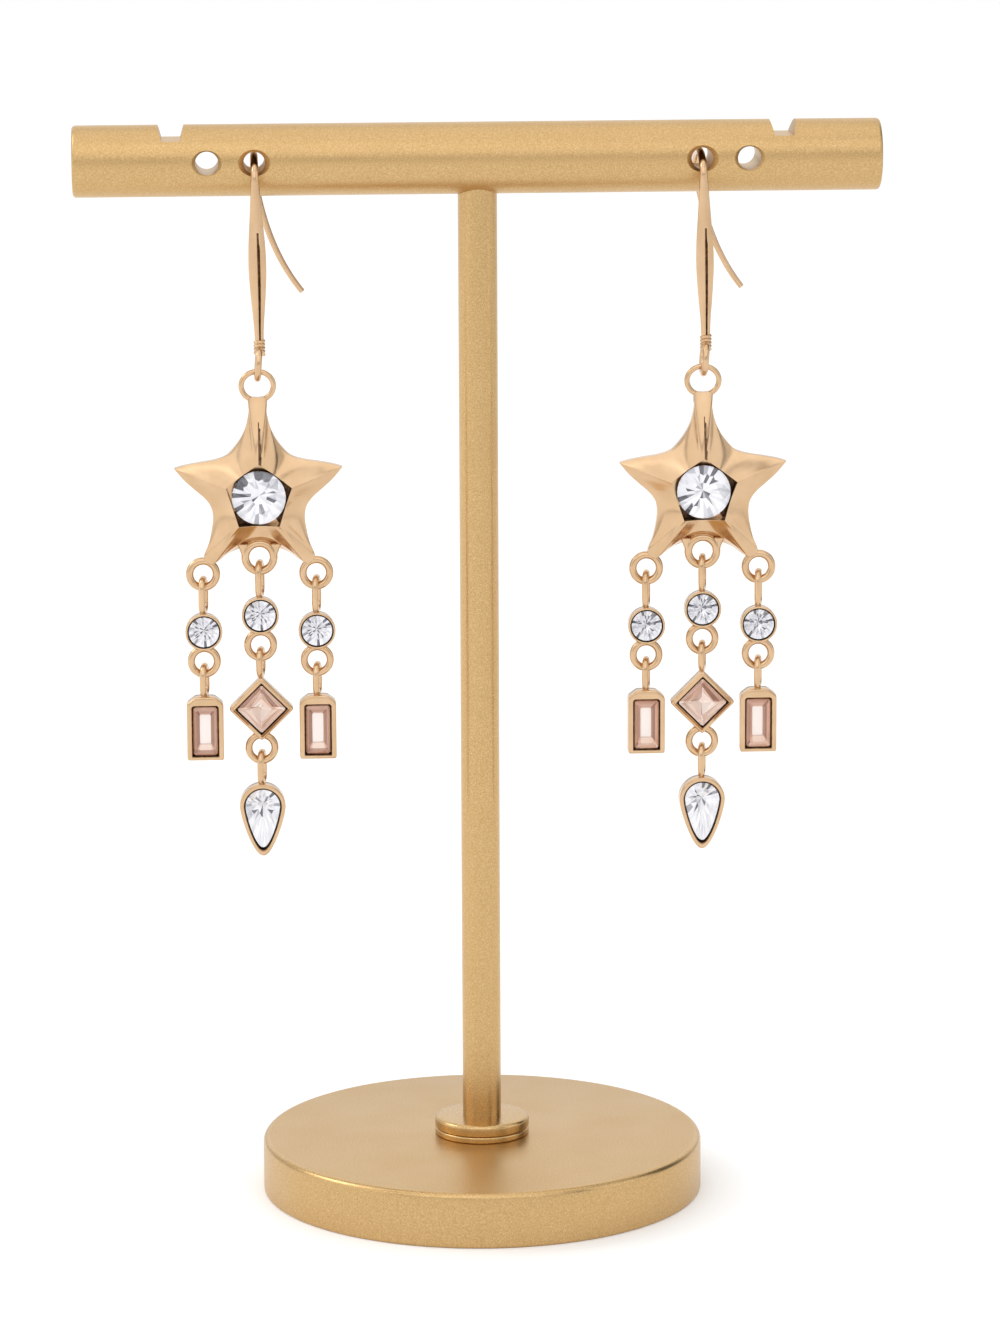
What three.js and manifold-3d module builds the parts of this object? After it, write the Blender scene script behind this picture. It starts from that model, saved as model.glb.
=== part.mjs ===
// A pair of star chandelier earrings hung on a T-bar stand.
// Millimetres, +Z up, front faces -Y, origin at the middle of the base's underside.

import * as THREE from 'three';
import { mergeVertices } from 'three/addons/utils/BufferGeometryUtils.js';
import Module from 'manifold-3d';

const wasm = await Module();
wasm.setup();

// Stand sizes

const base = { diameter: 50.4, thickness: 6.3, edge: 0.6, sides: 64 };
const collar = { diameter: 10.8, thickness: 2.1, edge: 0.45, sides: 32 };
const post = { diameter: 4.4, endInBar: 2.2, sides: 32 };
const bar = { diameter: 8, length: 90, height: 118.7, edge: 0.4, sides: 36 };
const notch = { offset: 34.05, topWidth: 2.9, bottomWidth: 2.1, depth: 1.6 };
const viewHole = { offset: 30.1, diameter: 2.6, chamfer: 0.12, sides: 20 };
const hookHole = { offset: 24.85, diameter: 2.4, chamfer: 0.28, sides: 20 };

// Running gap between a post and the hole that it fills
const postFit = 0.2;

// Ear hook sizes: the wire goes up the front, through the bar and down behind it

const hook = {
  wire: 0.84,
  eyeDrop: 20.4,
  eyeHeight: 4.2,
  eyeWire: 0.76,
  leafWidth: 2.0,
  bendRadius: 1.5,
  crownGap: 0.26,
  seatGap: 0.32,
  lean: 0.3,
  tailLength: 13.6,
  tailReach: 5.3,
  tailBack: 0.7,
  tailWire: 0.64,
  tailPullOut: 1.17,
  tailPullDown: 8.43,
  wrapWire: 0.42,
  wrapWaist: 0.47,
  wrapTurns: 2,
};

// Widths of the hook's front leg, from its eye up to the bar
const leafSections = [
  { along: 0.0, across: 0.48, deep: 0.95 },
  { along: 0.12, across: 0.53, deep: 0.9 },
  { along: 0.3, across: 0.82, deep: 0.8 },
  { along: 0.46, across: 1.0, deep: 0.78 },
  { along: 0.6, across: 0.95, deep: 0.8 },
  { along: 0.78, across: 0.7, deep: 0.9 },
  { along: 0.95, across: 0.5, deep: 1.0 },
  { along: 1.0, across: 0.45, deep: 1.0 },
];

// Star sizes: reach is from the middle of its stone to a side tip

const star = {
  reach: 9.85,
  thickness: 3.1,
  edge: 1.0,
  backOffset: 0.55,
  pocketRadius: 3.86,
  pocketFloor: 0.7,
  valleyRim: 0.76,
  ringUp: 12.35,
  ringWidth: 4.2,
  ringHeight: 3.85,
  ringWire: 0.62,
  legRingOut: 6.33,
  legRingDown: 8.8,
  middleRingDown: 6.95,
  middleRingHole: 2.25,
  middleRingWire: 0.92,
  scoop: 0.7,
  rimEase: 1.6,
};
const legRing = { width: 3.85, wire: 0.86 };

// Struts from the arch to the middle ring, which widen and spread towards the arch
const strut = { ringHalf: 0.39, archHalf: 0.61, deep: 0.39, spread: 0.29, sunk: 0.4 };

// Outline of the star's right half, as shares of its reach, from ridge to ridge
const shoulderOutline = [
  { x: 0.0, z: 1.125 },
  { x: 0.104, z: 1.115 },
  { x: 0.1, z: 0.98 },
  { x: 0.132, z: 0.81 },
  { x: 0.193, z: 0.67 },
  { x: 0.275, z: 0.555 },
  { x: 0.365, z: 0.465 },
  { x: 0.5, z: 0.418 },
  { x: 0.68, z: 0.388 },
  { x: 0.84, z: 0.358 },
  { x: 0.951, z: 0.325 },
];
const flankOutline = [
  { x: 0.951, z: 0.325 },
  { x: 0.842, z: 0.195 },
  { x: 0.726, z: 0.088 },
  { x: 0.62, z: -0.005 },
  { x: 0.553, z: -0.09 },
  { x: 0.526, z: -0.165 },
  { x: 0.52, z: -0.265 },
  { x: 0.538, z: -0.395 },
  { x: 0.572, z: -0.54 },
  { x: 0.63, z: -0.69 },
  { x: 0.59, z: -0.755 },
];
const archOutline = [
  { x: 0.59, z: -0.755 },
  { x: 0.526, z: -0.772 },
  { x: 0.396, z: -0.66 },
  { x: 0.245, z: -0.548 },
  { x: 0.125, z: -0.478 },
  { x: 0.0, z: -0.456 },
];
const archBack = [
  { x: 0.59, z: -0.755 },
  { x: 0.52, z: -0.79 },
  { x: 0.43, z: -0.73 },
  { x: 0.325, z: -0.655 },
  { x: 0.165, z: -0.596 },
  { x: 0.0, z: -0.575 },
];

// Sizes shared by the drops: each has an upright top loop and most a flat lower loop

const drop = {
  lowerWidth: 3.75,
  lowerHole: 2.1,
  topWire: 0.74,
  topGap: 1.5,
  topTurn: 10,
  linkGap: 0.16,
  rootOverlap: 0.3,
  lowerOverlap: 0.5,
  settingDepth: 2.0,
  floor: 0.35,
  stoneGap: 0.12,
  culetGap: 0.15,
};

const roundSetting = { width: 4.14, stone: 3.4, hang: 3.5, crown: 0.4, sides: 16 };
const baguetteSetting = {
  width: 4.12,
  height: 7.25,
  shoulderWidth: 1.0,
  shoulderHeight: 0.75,
  stoneWidth: 2.7,
  stoneHeight: 5.5,
  stoneLow: 0.3,
  hang: 3.05,
  crown: 0.42,
};
const squareSetting = { side: 5.2, stoneSide: 3.9, hang: 2.65, crown: 0.42, lowerOverlap: 1.0 };
const pearSetting = { width: 5.15, height: 8.2, wall: 0.5, hang: 3.2, crown: 0.45, steps: 20 };
const starStone = { width: 6.0, crown: 0.72, girdleUp: 2.1 };

// Round cut: table and culet as shares of the radius, the back's step as a share of its depth
const roundCut = { table: 0.58, culet: 0.08, backDepth: 0.52 };

// Colours of the finishes

const finish = {
  stand: { color: 0xc8a469, roughness: 0.5, metalness: 1 },
  rose: { color: 0xe8bd8b, roughness: 0.2, metalness: 1 },
  clear: { color: 0xf4f5fa, roughness: 0.03, metalness: 0 },
  peach: { color: 0xe6bfa4, roughness: 0.03, metalness: 0 },
};

// Geometry helpers

// Makes a geometry an indexed one with shared corners and outward faces
function closed(geometry) {
  const bare = geometry.clone();
  bare.deleteAttribute('normal');
  bare.deleteAttribute('uv');
  const merged = mergeVertices(bare, 1e-4);
  const p = merged.getAttribute('position');
  const index = merged.getIndex();
  const a = new THREE.Vector3();
  const b = new THREE.Vector3();
  const c = new THREE.Vector3();
  let volume = 0;
  for (let i = 0; i < index.count; i += 3) {
    a.fromBufferAttribute(p, index.getX(i));
    b.fromBufferAttribute(p, index.getX(i + 1));
    c.fromBufferAttribute(p, index.getX(i + 2));
    volume += a.dot(b.cross(c));
  }
  if (volume < 0) {
    for (let i = 0; i < index.count; i += 3) {
      const second = index.getX(i + 1);
      index.setX(i + 1, index.getX(i + 2));
      index.setX(i + 2, second);
    }
  }
  return merged;
}

function toSolid(geometry) {
  const g = closed(geometry);
  const mesh = new wasm.Mesh({
    numProp: 3,
    vertProperties: new Float32Array(g.getAttribute('position').array),
    triVerts: new Uint32Array(g.getIndex().array),
  });
  return new wasm.Manifold(mesh);
}

function toGeometry(solid) {
  const mesh = solid.getMesh();
  const g = new THREE.BufferGeometry();
  g.setAttribute('position', new THREE.BufferAttribute(new Float32Array(mesh.vertProperties), 3));
  g.setIndex(new THREE.BufferAttribute(new Uint32Array(mesh.triVerts), 1));
  return g;
}

function join(first, ...others) {
  let solid = toSolid(first);
  for (const other of others) {
    solid = solid.add(toSolid(other));
  }
  return toGeometry(solid);
}

function cut(first, ...tools) {
  let solid = toSolid(first);
  for (const tool of tools) {
    solid = solid.subtract(toSolid(tool));
  }
  return toGeometry(solid);
}

// Skin over rings with the same number of points, capped at both ends or joined end to end
function skin(rings, endless = false) {
  const count = rings[0].length;
  const positions = [];
  const index = [];
  for (const ring of rings) {
    for (const point of ring) {
      positions.push(point.x, point.y, point.z);
    }
  }
  const spans = endless ? rings.length : rings.length - 1;
  for (let r = 0; r < spans; r += 1) {
    const here = r * count;
    const next = ((r + 1) % rings.length) * count;
    for (let i = 0; i < count; i += 1) {
      const j = (i + 1) % count;
      index.push(here + i, here + j, next + j);
      index.push(here + i, next + j, next + i);
    }
  }
  if (!endless) {
    const caps = [{ ring: 0, flip: true }, { ring: rings.length - 1, flip: false }];
    for (const cap of caps) {
      const middle = new THREE.Vector3();
      for (const point of rings[cap.ring]) {
        middle.addScaledVector(point, 1 / count);
      }
      const hub = positions.length / 3;
      positions.push(middle.x, middle.y, middle.z);
      for (let i = 0; i < count; i += 1) {
        const here = cap.ring * count + i;
        const next = cap.ring * count + ((i + 1) % count);
        index.push(hub, cap.flip ? next : here, cap.flip ? here : next);
      }
    }
  }
  const g = new THREE.BufferGeometry();
  g.setAttribute('position', new THREE.Float32BufferAttribute(positions, 3));
  g.setIndex(index);
  return closed(g);
}

// Wire loop in the XZ plane: a circle, or two half circles with a straight part between
function wireLoop({ width, straight = 0, wire, steps = 14, sides = 6 }) {
  const bend = (width - wire) / 2;
  const half = steps / 2;
  const rings = [];
  for (let i = 0; i < steps; i += 1) {
    const upper = i < half;
    const share = straight > 0 ? (i % half) / (half - 1) : (i % half) / half;
    const angle = Math.PI * (share + (upper ? 0 : 1));
    const outward = new THREE.Vector3(Math.cos(angle), 0, Math.sin(angle));
    const middle = outward.clone().multiplyScalar(bend);
    middle.z += upper ? straight / 2 : -straight / 2;
    const ring = [];
    for (let s = 0; s < sides; s += 1) {
      const turn = (2 * Math.PI * (s + 0.5)) / sides;
      const point = middle.clone().addScaledVector(outward, (wire / 2) * Math.cos(turn));
      point.y += (wire / 2) * Math.sin(turn);
      ring.push(point);
    }
    rings.push(ring);
  }
  return skin(rings, true);
}

// Wire along a list of points, each with its own half sizes across (X) and deep
function taperedWire(points, sides) {
  const rings = points.map((row, i) => {
    const before = points[Math.max(i - 1, 0)].at;
    const after = points[Math.min(i + 1, points.length - 1)].at;
    const along = after.clone().sub(before).normalize();
    const across = new THREE.Vector3(1, 0, 0).addScaledVector(along, -along.x).normalize();
    const deep = new THREE.Vector3().crossVectors(along, across);
    const ring = [];
    for (let s = 0; s < sides; s += 1) {
      const turn = (2 * Math.PI * (s + 0.5)) / sides;
      const point = row.at.clone();
      point.addScaledVector(across, row.across * Math.cos(turn));
      point.addScaledVector(deep, row.deep * Math.sin(turn));
      ring.push(point);
    }
    return ring;
  });
  return skin(rings);
}

// Cylinder along Y, through the middle of the bar
function boreAlongY(diameter, length, sides) {
  return new THREE.CylinderGeometry(diameter / 2, diameter / 2, length, sides);
}

// Disc turned about Z with both rims chamfered, standing on z = 0
function turnedDisc({ diameter, thickness, edge, sides }, bore = 0) {
  const inner = bore / 2;
  const outer = diameter / 2;
  const profile = [
    new THREE.Vector2(inner, 0),
    new THREE.Vector2(outer - edge / 2, 0),
    new THREE.Vector2(outer, edge / 2),
    new THREE.Vector2(outer, thickness - edge),
    new THREE.Vector2(outer - edge * 0.3, thickness - edge * 0.3),
    new THREE.Vector2(outer - edge, thickness),
    new THREE.Vector2(inner, thickness),
  ];
  if (bore > 0) {
    profile.push(profile[0].clone());
  }
  return closed(new THREE.LatheGeometry(profile, sides).rotateX(Math.PI / 2));
}

// Stand

function makeBase() {
  return turnedDisc(base);
}

function makeCollar() {
  return turnedDisc(collar, post.diameter + 2 * postFit).translate(0, 0, base.thickness);
}

function makePost() {
  const top = bar.height - bar.diameter / 2 + post.endInBar - postFit;
  const length = top - base.thickness;
  const rod = new THREE.CylinderGeometry(post.diameter / 2, post.diameter / 2, length, post.sides);
  return closed(rod.rotateX(Math.PI / 2).translate(0, 0, base.thickness + length / 2));
}

// Wedge that cuts a notch across the top of the bar
function notchCutter(side) {
  const spare = 1;
  const top = bar.diameter / 2;
  const slope = (notch.topWidth - notch.bottomWidth) / 2 / notch.depth;
  const shape = new THREE.Shape([
    new THREE.Vector2(-notch.bottomWidth / 2, top - notch.depth),
    new THREE.Vector2(notch.bottomWidth / 2, top - notch.depth),
    new THREE.Vector2(notch.topWidth / 2 + slope * spare, top + spare),
    new THREE.Vector2(-notch.topWidth / 2 - slope * spare, top + spare),
  ]);
  const g = new THREE.ExtrudeGeometry(shape, { depth: bar.diameter, bevelEnabled: false });
  g.rotateX(Math.PI / 2);
  return g.translate(side * notch.offset, bar.diameter / 2, 0);
}

// Hole through the bar from front to back with a chamfer at both mouths
function holeCutters(hole, side) {
  const reach = bar.diameter + 2;
  const bore = boreAlongY(hole.diameter, reach, hole.sides);
  const radius = hole.diameter / 2;
  const surface = Math.sqrt((bar.diameter / 2) ** 2 - (radius + hole.chamfer) ** 2);
  const depth = bar.diameter / 2 - surface + hole.chamfer;
  const mouth = radius + hole.chamfer;
  const cone = new THREE.CylinderGeometry(mouth + depth, radius, mouth + depth - radius, hole.sides);
  const middle = surface - hole.chamfer + (mouth + depth - radius) / 2;
  const back = cone.clone().translate(0, middle, 0);
  const front = cone.clone().rotateX(Math.PI).translate(0, -middle, 0);
  return [bore, back, front].map((g) => g.translate(side * hole.offset, 0, 0));
}

function makeBar() {
  const radius = bar.diameter / 2;
  const half = bar.length / 2;
  const profile = [
    new THREE.Vector2(0, -half),
    new THREE.Vector2(radius - bar.edge, -half),
    new THREE.Vector2(radius - bar.edge * 0.3, -half + bar.edge * 0.3),
    new THREE.Vector2(radius, -half + bar.edge),
    new THREE.Vector2(radius, half - bar.edge),
    new THREE.Vector2(radius - bar.edge * 0.3, half - bar.edge * 0.3),
    new THREE.Vector2(radius - bar.edge, half),
    new THREE.Vector2(0, half),
  ];
  const rod = new THREE.LatheGeometry(profile, bar.sides).rotateZ(Math.PI / 2);
  const socketRadius = post.diameter / 2 + postFit;
  const socketDepth = post.endInBar + postFit;
  const socket = new THREE.CylinderGeometry(socketRadius, socketRadius, socketDepth * 2, post.sides);
  socket.rotateX(Math.PI / 2).translate(0, 0, -radius);
  const cutters = [socket];
  for (const side of [-1, 1]) {
    cutters.push(notchCutter(side), ...holeCutters(viewHole, side), ...holeCutters(hookHole, side));
  }
  return cut(rod, ...cutters).translate(0, 0, bar.height);
}

// Ear hook, in a frame whose origin is on the bar's axis above the earring

// Half width and half depth of the front leg at a share of its length
function leafAt(share) {
  let k = 0;
  while (k < leafSections.length - 2 && leafSections[k + 1].along < share) {
    k += 1;
  }
  const low = leafSections[k];
  const high = leafSections[k + 1];
  const mix = (share - low.along) / (high.along - low.along);
  return {
    across: (THREE.MathUtils.lerp(low.across, high.across, mix) * hook.leafWidth) / 2,
    deep: (THREE.MathUtils.lerp(low.deep, high.deep, mix) * hook.wire) / 2,
  };
}

// The arch that lies in the bar's hole: its crown, its ends and the slope at its ends
function hookArch() {
  const wireRadius = hook.wire / 2;
  const boreRadius = hookHole.diameter / 2;
  const half = bar.diameter / 2;
  const crown = boreRadius - hook.crownGap - wireRadius;
  const end = -(boreRadius - hook.seatGap - wireRadius);
  const sag = crown - end;
  const radius = (half * half + sag * sag) / (2 * sag);
  const slope = Math.asin(half / radius);
  const standOff = half + hook.bendRadius * (1 - Math.sin(slope));
  const legTop = end - hook.bendRadius * Math.cos(slope);
  return { crown, radius, slope, half, end, standOff, legTop };
}

const arch = hookArch();

function hookPoints() {
  const points = [];
  const wireRadius = hook.wire / 2;
  const put = (x, y, z, across = wireRadius, deep = wireRadius) => {
    points.push({ at: new THREE.Vector3(x, y, z), across, deep });
  };
  const legSteps = 12;
  for (let i = 0; i <= legSteps; i += 1) {
    const share = i / legSteps;
    const size = leafAt(share);
    const z = THREE.MathUtils.lerp(-hook.eyeDrop, arch.legTop, share);
    put(hook.lean * (1 - share) ** 0.7, -arch.standOff, z, size.across, size.deep);
  }
  const bendSteps = 4;
  for (let i = 1; i <= bendSteps; i += 1) {
    const turn = (i / bendSteps) * (Math.PI / 2 - arch.slope);
    const y = -arch.standOff + hook.bendRadius * (1 - Math.cos(turn));
    put(0, y, arch.legTop + hook.bendRadius * Math.sin(turn));
  }
  const archSteps = 6;
  for (let i = 1; i < archSteps; i += 1) {
    const turn = THREE.MathUtils.lerp(-arch.slope, arch.slope, i / archSteps);
    put(0, arch.radius * Math.sin(turn), arch.crown - arch.radius * (1 - Math.cos(turn)));
  }
  for (let i = 0; i <= bendSteps; i += 1) {
    const turn = Math.PI / 2 - arch.slope - (i / bendSteps) * (Math.PI / 2 - arch.slope);
    const y = arch.standOff - hook.bendRadius * (1 - Math.cos(turn));
    put(0, y, arch.legTop + hook.bendRadius * Math.sin(turn));
  }
  const start = new THREE.Vector3(0, arch.standOff, arch.legTop);
  const pull = start.clone().add(new THREE.Vector3(hook.tailPullOut, 0, -hook.tailPullDown));
  const tip = start.clone().add(new THREE.Vector3(hook.tailReach, hook.tailBack, -hook.tailLength));
  const tail = new THREE.QuadraticBezierCurve3(start, pull, tip);
  const tailSteps = 9;
  for (let i = 1; i <= tailSteps; i += 1) {
    const share = i / tailSteps;
    const at = tail.getPoint(share);
    const radius = THREE.MathUtils.lerp(hook.wire, hook.tailWire, Math.sqrt(share)) / 2;
    put(at.x, at.y, at.z, radius, radius);
  }
  return points;
}

// Wire wrapped round the foot of the leg above the eye, as one turned band with a bulge a turn
function makeWrap() {
  const wire = hook.wrapWire;
  const waist = hook.wrapWaist;
  const height = wire * hook.wrapTurns;
  const bulge = waist + wire * 0.4;
  const profile = [new THREE.Vector2(0, 0), new THREE.Vector2(waist, 0)];
  for (let i = 0; i < hook.wrapTurns; i += 1) {
    profile.push(new THREE.Vector2(bulge, wire * (i + 0.25)));
    profile.push(new THREE.Vector2(bulge, wire * (i + 0.75)));
    profile.push(new THREE.Vector2(waist, wire * (i + 1)));
  }
  profile.push(new THREE.Vector2(0, height));
  const band = new THREE.LatheGeometry(profile, 12).rotateX(Math.PI / 2);
  return band.translate(hook.lean, -arch.standOff, -hook.eyeDrop);
}

function makeHook() {
  const leg = taperedWire(hookPoints(), 8);
  const eyeMiddle = -hook.eyeDrop + hook.eyeWire / 2 - hook.eyeHeight / 2;
  const eye = wireLoop({ width: hook.eyeHeight, wire: hook.eyeWire, steps: 16 });
  eye.rotateZ(Math.PI / 2);
  eye.rotateY(-Math.atan2(hook.lean, hook.eyeHeight));
  eye.translate(hook.lean / 2, -arch.standOff, eyeMiddle);
  return join(leg, eye, makeWrap());
}

// Star, in a frame whose origin is the middle of its stone

// Corners of the five-sided pocket, the first one at the top
function pocketCorner(number) {
  const angle = Math.PI / 2 - (number * 2 * Math.PI) / 5;
  return new THREE.Vector2(Math.cos(angle), Math.sin(angle)).multiplyScalar(star.pocketRadius);
}

// Corners of a half outline table at the star's size
function spread(table) {
  return table.map((row) => new THREE.Vector2(row.x, row.z).multiplyScalar(star.reach));
}

// One row for each fluted face between two ridges, going round from the top
function starSectors() {
  const archFront = spread(archOutline);
  const archRear = spread(archBack);
  const across = (list) => {
    const left = list.slice(0, -1).reverse();
    return [...list, ...left.map((p) => new THREE.Vector2(-p.x, p.y))];
  };
  const shoulder = spread(shoulderOutline);
  const flank = spread(flankOutline);
  const mirrored = (list) => list.map((p) => new THREE.Vector2(-p.x, p.y)).reverse();
  return [
    { outline: shoulder, rear: shoulder },
    { outline: flank, rear: flank },
    { outline: across(archFront), rear: across(archRear) },
    { outline: mirrored(flank), rear: mirrored(flank) },
    { outline: mirrored(shoulder), rear: mirrored(shoulder) },
  ];
}

function makeStarBody() {
  const depths = [0, 0.18, 0.45, 0.75, 1];
  const floorRing = [];
  const faceRings = depths.map(() => []);
  const rearRing = [];
  starSectors().forEach((sector, number) => {
    const from = pocketCorner(number);
    const to = pocketCorner(number + 1);
    const steps = sector.outline.length - 1;
    for (let i = 0; i < steps; i += 1) {
      const share = i / steps;
      const rim = from.clone().lerp(to, share);
      const ridge = Math.abs(2 * share - 1);
      const rimShare = THREE.MathUtils.lerp(star.valleyRim, 1, ridge ** star.rimEase);
      const rimUp = star.thickness * rimShare;
      const curve = 1 + star.scoop * (1 - ridge);
      floorRing.push(new THREE.Vector3(rim.x, star.backOffset - star.pocketFloor, rim.y));
      depths.forEach((t, k) => {
        const at = rim.clone().lerp(sector.outline[i], t);
        const up = star.edge + (rimUp - star.edge) * (1 - t) ** curve;
        faceRings[k].push(new THREE.Vector3(at.x, star.backOffset - up, at.y));
      });
      rearRing.push(new THREE.Vector3(sector.rear[i].x, star.backOffset, sector.rear[i].y));
    }
  });
  return skin([floorRing, ...faceRings, rearRing]);
}

function faceOnRing(width, wire, x, z, steps = 14, sides = 6) {
  return wireLoop({ width, wire, steps, sides }).translate(x, 0, z);
}

// Strut on one side, from the middle ring's side up into the arch
function makeStrut(side) {
  const ringSide = (star.middleRingHole + star.middleRingWire) / 2;
  const archUnder = archBack[archBack.length - 2].z * star.reach;
  const low = new THREE.Vector3(side * ringSide, 0, -star.middleRingDown);
  const high = new THREE.Vector3(side * (ringSide + strut.spread), 0, archUnder + strut.sunk);
  const sections = [
    { at: low, across: strut.ringHalf, deep: strut.deep },
    { at: high, across: strut.archHalf, deep: strut.deep },
  ];
  return taperedWire(sections, 6);
}

function makeStar() {
  const topRing = faceOnRing(star.ringWidth, star.ringWire, 0, 0);
  topRing.scale(1, 1, star.ringHeight / star.ringWidth);
  topRing.translate(0, 0, star.ringUp);
  const middleWidth = star.middleRingHole + 2 * star.middleRingWire;
  const pieces = [topRing, faceOnRing(middleWidth, star.middleRingWire, 0, -star.middleRingDown)];
  for (const side of [-1, 1]) {
    pieces.push(faceOnRing(legRing.width, legRing.wire, side * star.legRingOut, -star.legRingDown));
    pieces.push(makeStrut(side));
  }
  return join(makeStarBody(), ...pieces);
}

// Cut stones, table towards the front, with the girdle in the plane y = 0

// Round stone with an eight-sided table, sixteen girdle corners and a pointed back
function brilliant(radius, crown, pavilion) {
  const table = [];
  const middle = [];
  const girdle = [];
  const back = [];
  const count = 16;
  for (let i = 0; i < count; i += 1) {
    const angle = (2 * Math.PI * i) / count;
    const even = i % 2 === 0;
    const tableShare = even ? roundCut.table : roundCut.table * Math.cos(Math.PI / 8);
    const on = (share, y) => {
      return new THREE.Vector3(radius * share * Math.cos(angle), y, radius * share * Math.sin(angle));
    };
    table.push(on(tableShare, -crown));
    middle.push(on(even ? 0.8 : 0.84, -crown * (even ? 0.58 : 0.42)));
    girdle.push(on(1, 0));
    back.push(on(even ? 0.5 : 0.46, pavilion * roundCut.backDepth));
  }
  const { culet: tip } = roundCut;
  const culet = table.map((p) => new THREE.Vector3(p.x * tip, pavilion, p.z * tip));
  return skin([table, middle, girdle, back, culet]);
}

// Stone cut in steps from any outline ring, with shares of its size at each step
function stepCut(outline, crown, pavilion, tableShrink) {
  const level = (shrink, y) => {
    return outline.map((p) => new THREE.Vector3(p.x * shrink.x, y, p.y * shrink.y));
  };
  const between = { x: (1 + tableShrink.x) / 2 + 0.05, y: (1 + tableShrink.y) / 2 + 0.03 };
  return skin([
    level(tableShrink, -crown),
    level(between, -crown * 0.6),
    level({ x: 1, y: 1 }, 0),
    level({ x: 1, y: 1 }, crown * 0.2),
    level({ x: 0.62, y: 0.72 }, pavilion * 0.62),
    level({ x: 0.12, y: 0.4 }, pavilion),
  ]);
}

// Rectangle with small cut corners, as the girdle of a stone
function rectangleOutline(width, height, corner) {
  const x = width / 2;
  const z = height / 2;
  return [
    new THREE.Vector2(x, z - corner),
    new THREE.Vector2(x - corner, z),
    new THREE.Vector2(-x + corner, z),
    new THREE.Vector2(-x, z - corner),
    new THREE.Vector2(-x, -z + corner),
    new THREE.Vector2(-x + corner, -z),
    new THREE.Vector2(x - corner, -z),
    new THREE.Vector2(x, -z + corner),
  ];
}

// Pear outline, round at the top and pointed at the bottom, its middle at the widest place
function pearOutline(width, height, steps) {
  const radius = width / 2;
  const tail = height - radius;
  const points = [];
  for (let i = 0; i < steps; i += 1) {
    const angle = (2 * Math.PI * i) / steps;
    const down = Math.sin(angle) < 0;
    const pinch = down ? (-Math.sin(angle)) ** 1.25 : 0;
    const x = radius * Math.cos(angle) * (1 - 0.3 * pinch);
    const z = down ? -tail * (-Math.sin(angle)) ** 1.12 : radius * Math.sin(angle);
    points.push(new THREE.Vector2(x, z));
  }
  return points;
}

// Settings, in a frame whose origin is the middle of the stone

const settingFront = -drop.settingDepth / 2;
const settingBack = drop.settingDepth / 2;
const stoneDepth = drop.settingDepth - drop.floor - drop.culetGap;

function extrudeInY(outline, front, back) {
  const options = { depth: back - front, bevelEnabled: false };
  const g = new THREE.ExtrudeGeometry(new THREE.Shape(outline), options);
  return g.rotateX(Math.PI / 2).translate(0, back, 0);
}

// Edge-on loop above a setting: its inside top hangs on the ring that it goes through
function hangingLoop(top, hang) {
  const height = hang + drop.topWire + drop.rootOverlap;
  const width = drop.topGap + 2 * drop.topWire;
  const loop = wireLoop({ width, straight: height - width, wire: drop.topWire, steps: 12, sides: 5 });
  loop.rotateZ(Math.PI / 2 - THREE.MathUtils.degToRad(drop.topTurn));
  return loop.translate(0, 0, top + hang + drop.topWire - height / 2);
}

function lowerLoopMiddle(bottom, overlap) {
  return bottom + overlap - drop.lowerWidth / 2;
}

// Face-on loop under a setting, sunk into its bottom edge by an overlap
function lowerLoop(bottom, overlap) {
  const wire = (drop.lowerWidth - drop.lowerHole) / 2;
  return faceOnRing(drop.lowerWidth, wire, 0, lowerLoopMiddle(bottom, overlap), 12, 5);
}

function makeRoundSetting() {
  const radius = roundSetting.width / 2;
  const inner = roundSetting.stone / 2 + drop.stoneGap;
  const profile = [
    new THREE.Vector2(0, settingBack),
    new THREE.Vector2(radius * 0.8, settingBack),
    new THREE.Vector2(radius, settingBack * 0.4),
    new THREE.Vector2(radius, settingFront),
    new THREE.Vector2(inner, settingFront),
    new THREE.Vector2(inner, settingBack - drop.floor),
    new THREE.Vector2(0, settingBack - drop.floor),
  ];
  const cup = new THREE.LatheGeometry(profile, roundSetting.sides);
  return join(cup, hangingLoop(radius, roundSetting.hang), lowerLoop(-radius, drop.lowerOverlap));
}

function makeRoundStone() {
  const pavilion = stoneDepth - roundSetting.crown * 0.5;
  const girdle = settingFront + roundSetting.crown * 0.5;
  return brilliant(roundSetting.stone / 2, roundSetting.crown, pavilion).translate(0, girdle, 0);
}

function makeBaguetteSetting() {
  const x = baguetteSetting.width / 2;
  const top = baguetteSetting.height / 2;
  const { shoulderWidth, shoulderHeight, stoneLow } = baguetteSetting;
  const outline = [
    new THREE.Vector2(-x, -top),
    new THREE.Vector2(x, -top),
    new THREE.Vector2(x, top - shoulderHeight),
    new THREE.Vector2(x - shoulderWidth, top),
    new THREE.Vector2(-x + shoulderWidth, top),
    new THREE.Vector2(-x, top - shoulderHeight),
  ];
  const body = extrudeInY(outline, settingFront, settingBack).translate(0, 0, stoneLow);
  const gap = 2 * drop.stoneGap;
  const { stoneWidth, stoneHeight } = baguetteSetting;
  const window = rectangleOutline(stoneWidth + gap, stoneHeight + gap, 0.1);
  const pocket = extrudeInY(window, settingFront - 1, settingBack - drop.floor);
  const loop = hangingLoop(top + stoneLow, baguetteSetting.hang);
  return join(cut(body, pocket), loop);
}

function makeBaguetteStone() {
  const outline = rectangleOutline(baguetteSetting.stoneWidth, baguetteSetting.stoneHeight, 0.18);
  const pavilion = stoneDepth - baguetteSetting.crown * 0.5;
  const stone = stepCut(outline, baguetteSetting.crown, pavilion, { x: 0.5, y: 0.74 });
  return stone.translate(0, settingFront + baguetteSetting.crown * 0.5, 0);
}

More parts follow.
